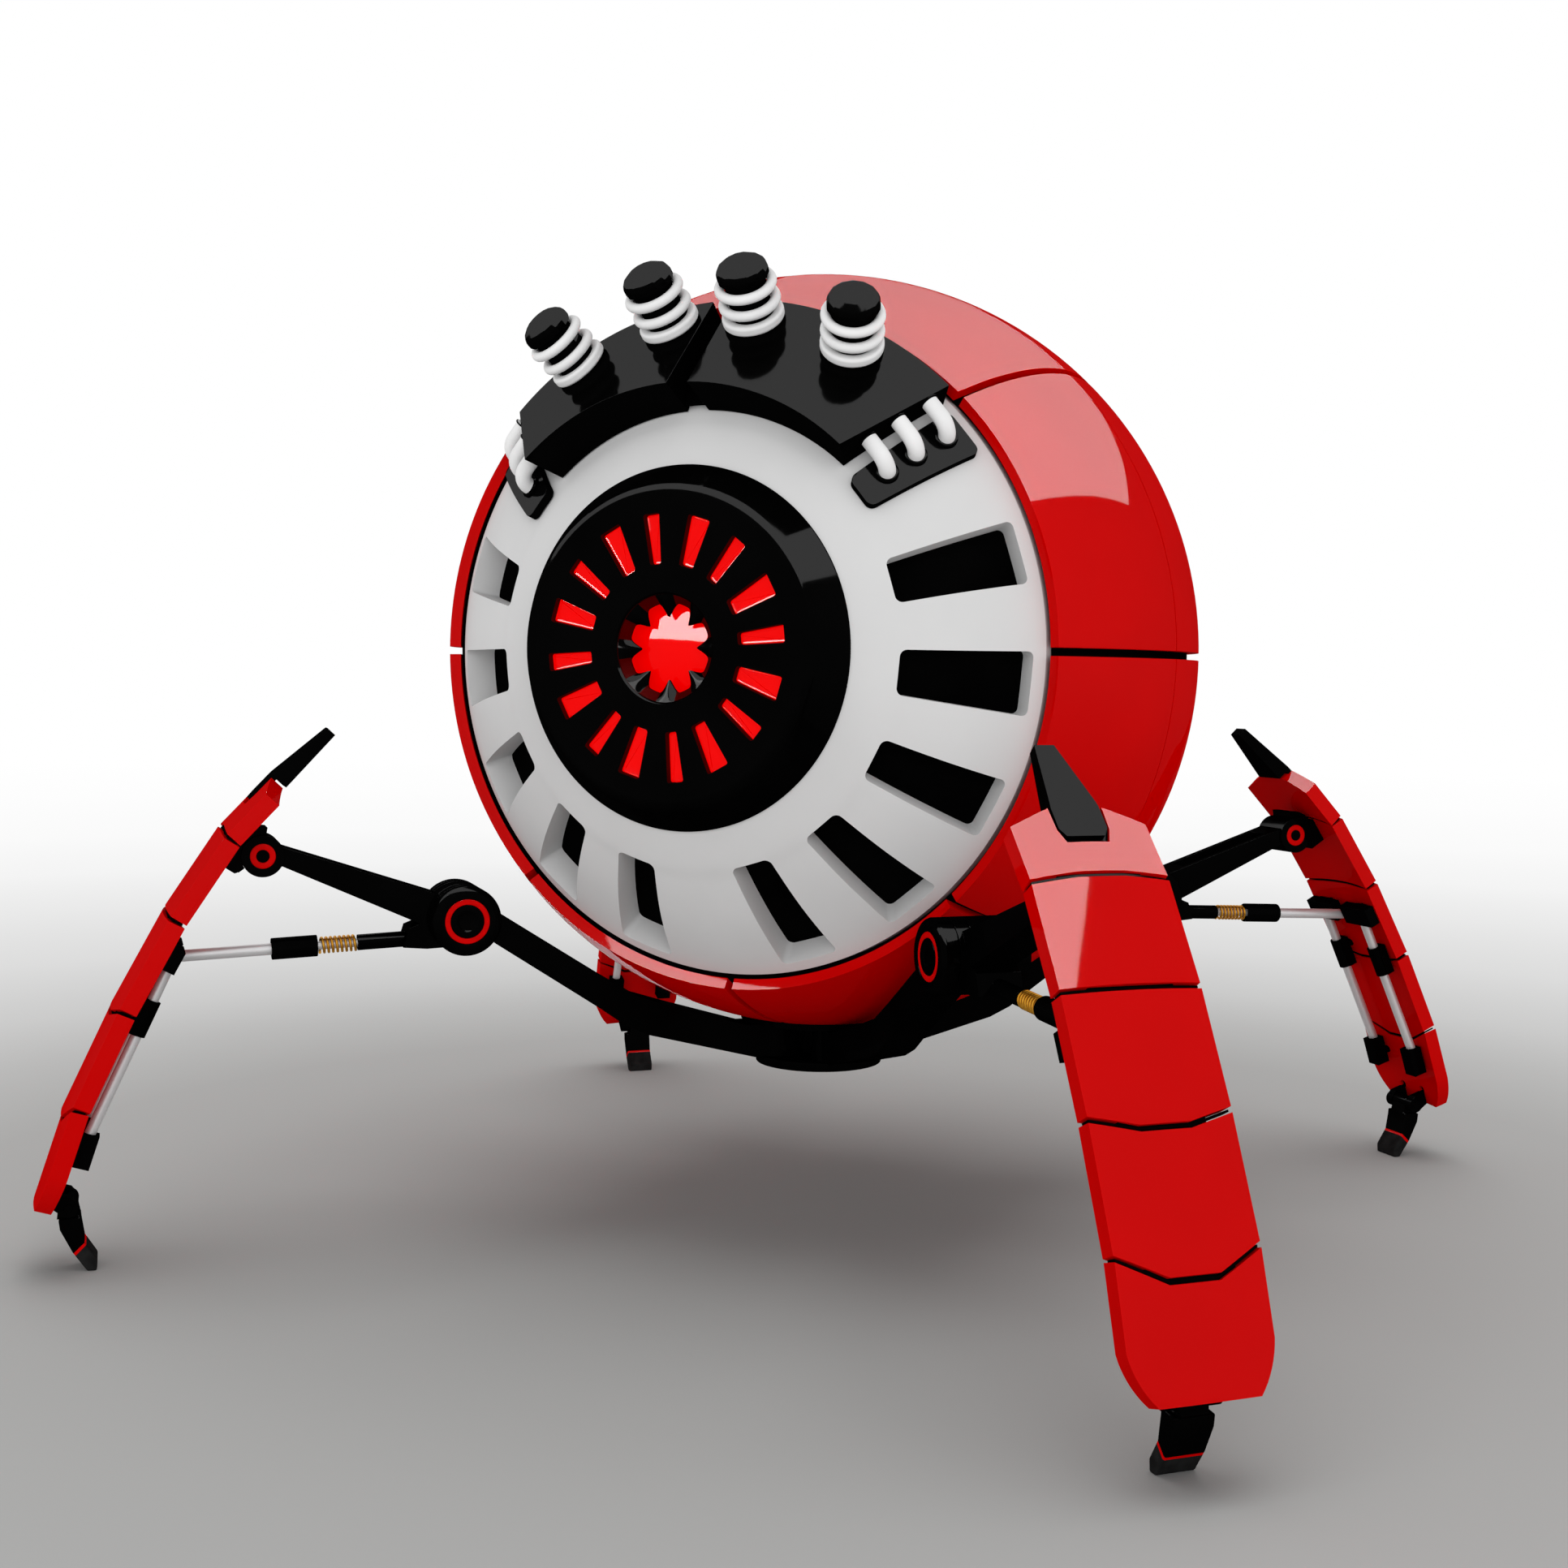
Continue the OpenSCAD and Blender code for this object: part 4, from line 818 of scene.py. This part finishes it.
bpy.ops.object.select_all(action="DESELECT")
bpy.ops.mesh.primitive_circle_add(vertices=shock["wireSides"], radius=shock["wire"] * mm)
coil = bpy.context.object
moved(coil, shifted(shock["coil"], 0, shock["stub"] + shock["coilFrom"]) @ turnedBy(90, "X"))
modify(coil, "SCREW", axis="Z", angle=2 * math.pi,
       screw_offset=(shock["spring"] - shock["coilShort"]) / shock["curls"] * mm,
       iterations=shock["curls"], steps=shock["coilSteps"], render_steps=shock["coilSteps"])
pick(coil, "EDGE", lambda item: True)
bpy.ops.mesh.select_all(action="DESELECT")
bpy.ops.mesh.select_non_manifold()
bpy.ops.mesh.fill_holes(sides=0)
bpy.ops.mesh.select_all(action="SELECT")
bpy.ops.mesh.normals_make_consistent(inside=False)
leaveEdit()
smooth(coil, 60)
settleLegs(onShock(painted(coil, brassWire)), "spring", "link_body", "spring_brass", "shock_spring")

sleeveLow = shock["stub"] + shock["spring"]
sleeveHigh = sleeveLow + shock["sleeve"]
seatLow, seatHigh = (sleeveLow + height for height in shock["seat"])
bore = shock["rod"] - shock["grip"]
sleeve = turnOnLathe("sleeve", [(shock["guide"], seatLow), (shock["mouth"], seatLow), (shock["mouth"], sleeveLow),
                                (shock["sleeveRadius"], sleeveLow), (shock["sleeveRadius"], sleeveHigh),
                                (bore, sleeveHigh), (bore, seatHigh), (shock["guide"], seatHigh),
                                (shock["guide"], seatLow)], shock["sleeveSides"])
soften(sleeve, shock["sleeveEdge"], 3, 35)
rodLow, rodStep = shock["stub"] - shock["rodBack"], sleeveLow + shock["rodStep"]
rodEnd = shock["length"] + shock["rodOver"]
rodOutline = [(0, rodLow), (shock["guide"], rodLow), (shock["guide"], rodStep), (shock["rod"], rodStep),
              (shock["rod"], rodEnd)]
rodOutline += [(radius, rodEnd + out) for radius, out in shock["rodTip"]]
rod = turnOnLathe("rod", rodOutline, shock["rodSides"])
smooth(rod, 35)
plunger = joined([painted(sleeve, blackGloss), painted(rod, groundSteel)], "plunger")
settleLegs(onShock(plunger), "plunger", "shock_body", "rod_steel", "shock_plunger")

plates = legCopy("shield_panels", "plates", leg["plateMerge"])
soften(plates, leg["plateEdge"], 3, 25)
settleLegs(painted(plates, redLacquer), "plates", "shield_body", "red_gloss", "shield_panels")

# cut away in each plate's own frame: the lugs beside the hinge, the saddle's low end and the crossbar's upper edge
trims = [{"base": (231.16, 49.3), "lean": -17.9, "low": (-14, -25.6), "high": (-1.5, -19), "half": 8.5},
         {"base": (188.55, 127.06), "lean": -33.4, "low": (-17, -16), "high": (-3.2, -8.6), "half": 8.5},
         {"base": (204.1, 103.5), "lean": -28.3, "low": (-10, -6.9), "high": (-4.5, -3.2), "half": 18.5}]
spine = legCopy("shield_frame", "spine")
for trim in trims:
    (nLow, zLow), (nHigh, zHigh) = trim["low"], trim["high"]
    bpy.ops.mesh.primitive_cube_add(size=1, scale=((nHigh - nLow) * mm, 2 * trim["half"] * mm, (zHigh - zLow) * mm))
    trimmer = bpy.context.object
    applyPlace(trimmer)
    plateFrame = shifted(trim["base"][0], 0, trim["base"][1]) @ turnedBy(trim["lean"], "Y")
    cutWith(spine, moved(trimmer, plateFrame @ shifted((nLow + nHigh) / 2, 0, (zLow + zHigh) / 2)))
soften(spine, leg["frameEdge"], 2, 30)
settleLegs(painted(spine, blackGloss), "spine", "shield_body", "black_gloss", "shield_frame")

# the hinge pin goes with the rods, in black
hinge = {"at": (232.19, 19.3), "reach": 3}
rods = painted(legCopy("shield_rods", "rods"), groundSteel, blackSatin)
for item in rods.data.polygons:
    offPin = math.hypot(item.center.x / mm - hinge["at"][0], item.center.z / mm - hinge["at"][1])
    item.material_index = int(offPin < hinge["reach"])
soften(rods, leg["rodEdge"], 2, 40)
settleLegs(rods, "rods", "shield_body", "rod_steel", "shield_rods")

# red line across the claw, grey rubber below it
clawLine = {"at": (229.2, 7.3), "wide": 0.9}
claw = painted(legCopy("claw", "claw"), blackGloss, redPaint, tipRubber)
slope = math.sqrt(0.5)
for back in (0, clawLine["wide"]):
    pick(claw, "FACE", lambda item: True)
    bpy.ops.mesh.bisect(plane_co=((clawLine["at"][0] - back * slope) * mm, 0, (clawLine["at"][1] - back * slope) * mm),
                        plane_no=(slope, 0, slope))
leaveEdit()
lineAt = (clawLine["at"][0] + clawLine["at"][1]) * slope
for item in claw.data.polygons:
    along = (item.center.x + item.center.z) * slope / mm - lineAt
    item.material_index = 0 if along > 0 else 1 if along > -clawLine["wide"] else 2
soften(claw, leg["clawEdge"], 3, 30)
settleLegs(claw, "claw_foot", "claw_body", "black_gloss", "claw")
print("legs done")


# floor and light, in metres
stageSet = {"size": 60, "near": "#8F8F8E", "rough": 0.85, "fibre": 0.004, "fibreDepth": 0.0004, "relief": 0.05,
            "reach": 3.4, "distanceGlow": [(0.06, 0), (0.09, 0.05), (0.118, 0.19), (0.147, 0.37), (0.2, 0.58), (0.274, 0.74),
                                   (0.353, 0.87), (0.47, 0.945), (0.68, 0.98), (1, 1)], "skyLow": 0.93, "skyHigh": 0.48}
lampSet = {"top": {"place": (0, 0, 1.4), "aim": (0, 0, 0), "size": (1.2, 1.2), "power": 18.5},
           "fill": {"place": (0.7, -1.6, 0.45), "aim": (0, 0, 0.15), "size": (1.4, 1.0), "power": 7.6},
           "ceiling": {"place": (-0.15, 0, 0.436), "aim": (-0.15, 0, 0), "size": (1.06, 0.76), "power": 118.6},
           "front": {"place": (-0.58, -1.15, 0.79), "aim": (0, -0.1, 0.79), "size": (1.8, 0.85), "power": 534},
           "card": {"place": (-0.75, 0.65, 0.002), "aim": (-0.75, 0.65, 1), "size": (1.2, 1.5), "power": 265}}

bpy.ops.object.select_all(action="DESELECT")
bpy.ops.mesh.primitive_plane_add(size=stageSet["size"])
floor = bpy.context.object
floor.name = "floor"
# pale studio floor with a painted white glow that grows with distance from the robot, so the floor further out is
# lighter and the floor near the feet keeps the lamps' shadow
floorFinish, tree = newFinish("Studio floor pale grey with painted glow")
place = addNode(tree, "ShaderNodeTexCoord", {}, {}).outputs["Object"]
away = addNode(tree, "ShaderNodeVectorMath", {"operation": "LENGTH"}, {"Vector": place})
share = addNode(tree, "ShaderNodeMapRange", {"From Max": stageSet["reach"]}, {"Value": away.outputs["Value"]})
distanceGlow = addNode(tree, "ShaderNodeValToRGB", {}, {"Fac": share.outputs["Result"]})
ramp = distanceGlow.color_ramp.elements
while len(ramp) < len(stageSet["distanceGlow"]):
    ramp.new(0.5)
for stop, (position, amount) in zip(ramp, stageSet["distanceGlow"]):
    stop.position, stop.color = position, (amount, amount, amount, 1)
fibre = addNode(tree, "ShaderNodeTexNoise", {"Scale": 1 / stageSet["fibre"]}, {"Vector": place})
relief = addNode(tree, "ShaderNodeBump", {"Strength": stageSet["relief"], "Distance": stageSet["fibreDepth"]},
                 {"Height": fibre.outputs["Fac"]})
paper = addNode(tree, "ShaderNodeBsdfPrincipled",
                {"Base Color": colour(stageSet["near"]), "Roughness": stageSet["rough"], "Specular IOR Level": 0},
                {"Normal": relief.outputs["Normal"]})
# painted light: white emission mixed in more the further the floor is from the robot's centre, lifting the floor beyond
# the shadow and turning it into the white backdrop far out
white = addNode(tree, "ShaderNodeEmission", {"Color": (1, 1, 1, 1), "Strength": 1}, {})
mixed = addNode(tree, "ShaderNodeMixShader", {}, {"Fac": distanceGlow.outputs["Color"]})
tree.links.new(paper.outputs["BSDF"], mixed.inputs[1])
tree.links.new(white.outputs["Emission"], mixed.inputs[2])
addNode(tree, "ShaderNodeOutputMaterial", {}, {"Surface": mixed.outputs["Shader"]})
floor.data.materials.append(floorFinish)

world = bpy.data.worlds.new("studio")
world.use_nodes = True
world.node_tree.nodes.clear()
tree = world.node_tree
path = addNode(tree, "ShaderNodeLightPath", {}, {})
seen = addNode(tree, "ShaderNodeMath", {"operation": "MAXIMUM"}, {})
tree.links.new(path.outputs["Is Camera Ray"], seen.inputs[0])
tree.links.new(path.outputs["Is Glossy Ray"], seen.inputs[1])
shown = addNode(tree, "ShaderNodeMath", {"operation": "MAXIMUM"}, {})
tree.links.new(seen.outputs["Value"], shown.inputs[0])
tree.links.new(path.outputs["Is Transmission Ray"], shown.inputs[1])
# white where it is seen or mirrored; as a light, the sky is dimmer overhead than near the floor
ray = addNode(tree, "ShaderNodeTexCoord", {}, {}).outputs["Generated"]
rise = addNode(tree, "ShaderNodeSeparateXYZ", {}, {"Vector": ray})
dim = addNode(tree, "ShaderNodeMapRange", {"To Min": stageSet["skyLow"], "To Max": stageSet["skyHigh"]},
              {"Value": rise.outputs["Z"]})
level = addNode(tree, "ShaderNodeMapRange", {"To Max": 1},
                {"Value": shown.outputs["Value"], "To Min": dim.outputs["Result"]})
sky = addNode(tree, "ShaderNodeBackground", {"Color": (1, 1, 1, 1)}, {"Strength": level.outputs["Result"]})
addNode(tree, "ShaderNodeOutputWorld", {}, {"Surface": sky.outputs["Background"]})
scene.world = world


def areaLamp(name):
    s = lampSet[name]
    data = bpy.data.lights.new(name, "AREA")
    data.shape, data.size, data.size_y, data.energy = "RECTANGLE", s["size"][0], s["size"][1], s["power"]
    lamp = bpy.data.objects.new(name, data)
    scene.collection.objects.link(lamp)
    lamp.location = s["place"]
    lamp.rotation_euler = (Vector(s["aim"]) - Vector(s["place"])).to_track_quat("-Z", "Y").to_euler()
    lamp.visible_camera = False
    return lamp


topLamp, fillLamp = areaLamp("top"), areaLamp("fill")
topLamp.visible_glossy = fillLamp.visible_glossy = False
# the top lamp is for the floor and its shadow
floorOnly = bpy.data.collections.new("floor_only")
floorOnly.objects.link(floor)
topLamp.light_linking.receiver_collection = floorOnly
# panels that only show in gloss: ceiling for red and black pieces, front for the lit eye, card for the shell's left
for name, group in (("ceiling", glossPieces), ("front", lensPieces), ("card", shellPieces)):
    panel = areaLamp(name)
    panel.visible_diffuse = False
    panel.light_linking.receiver_collection = group
print("stage set")
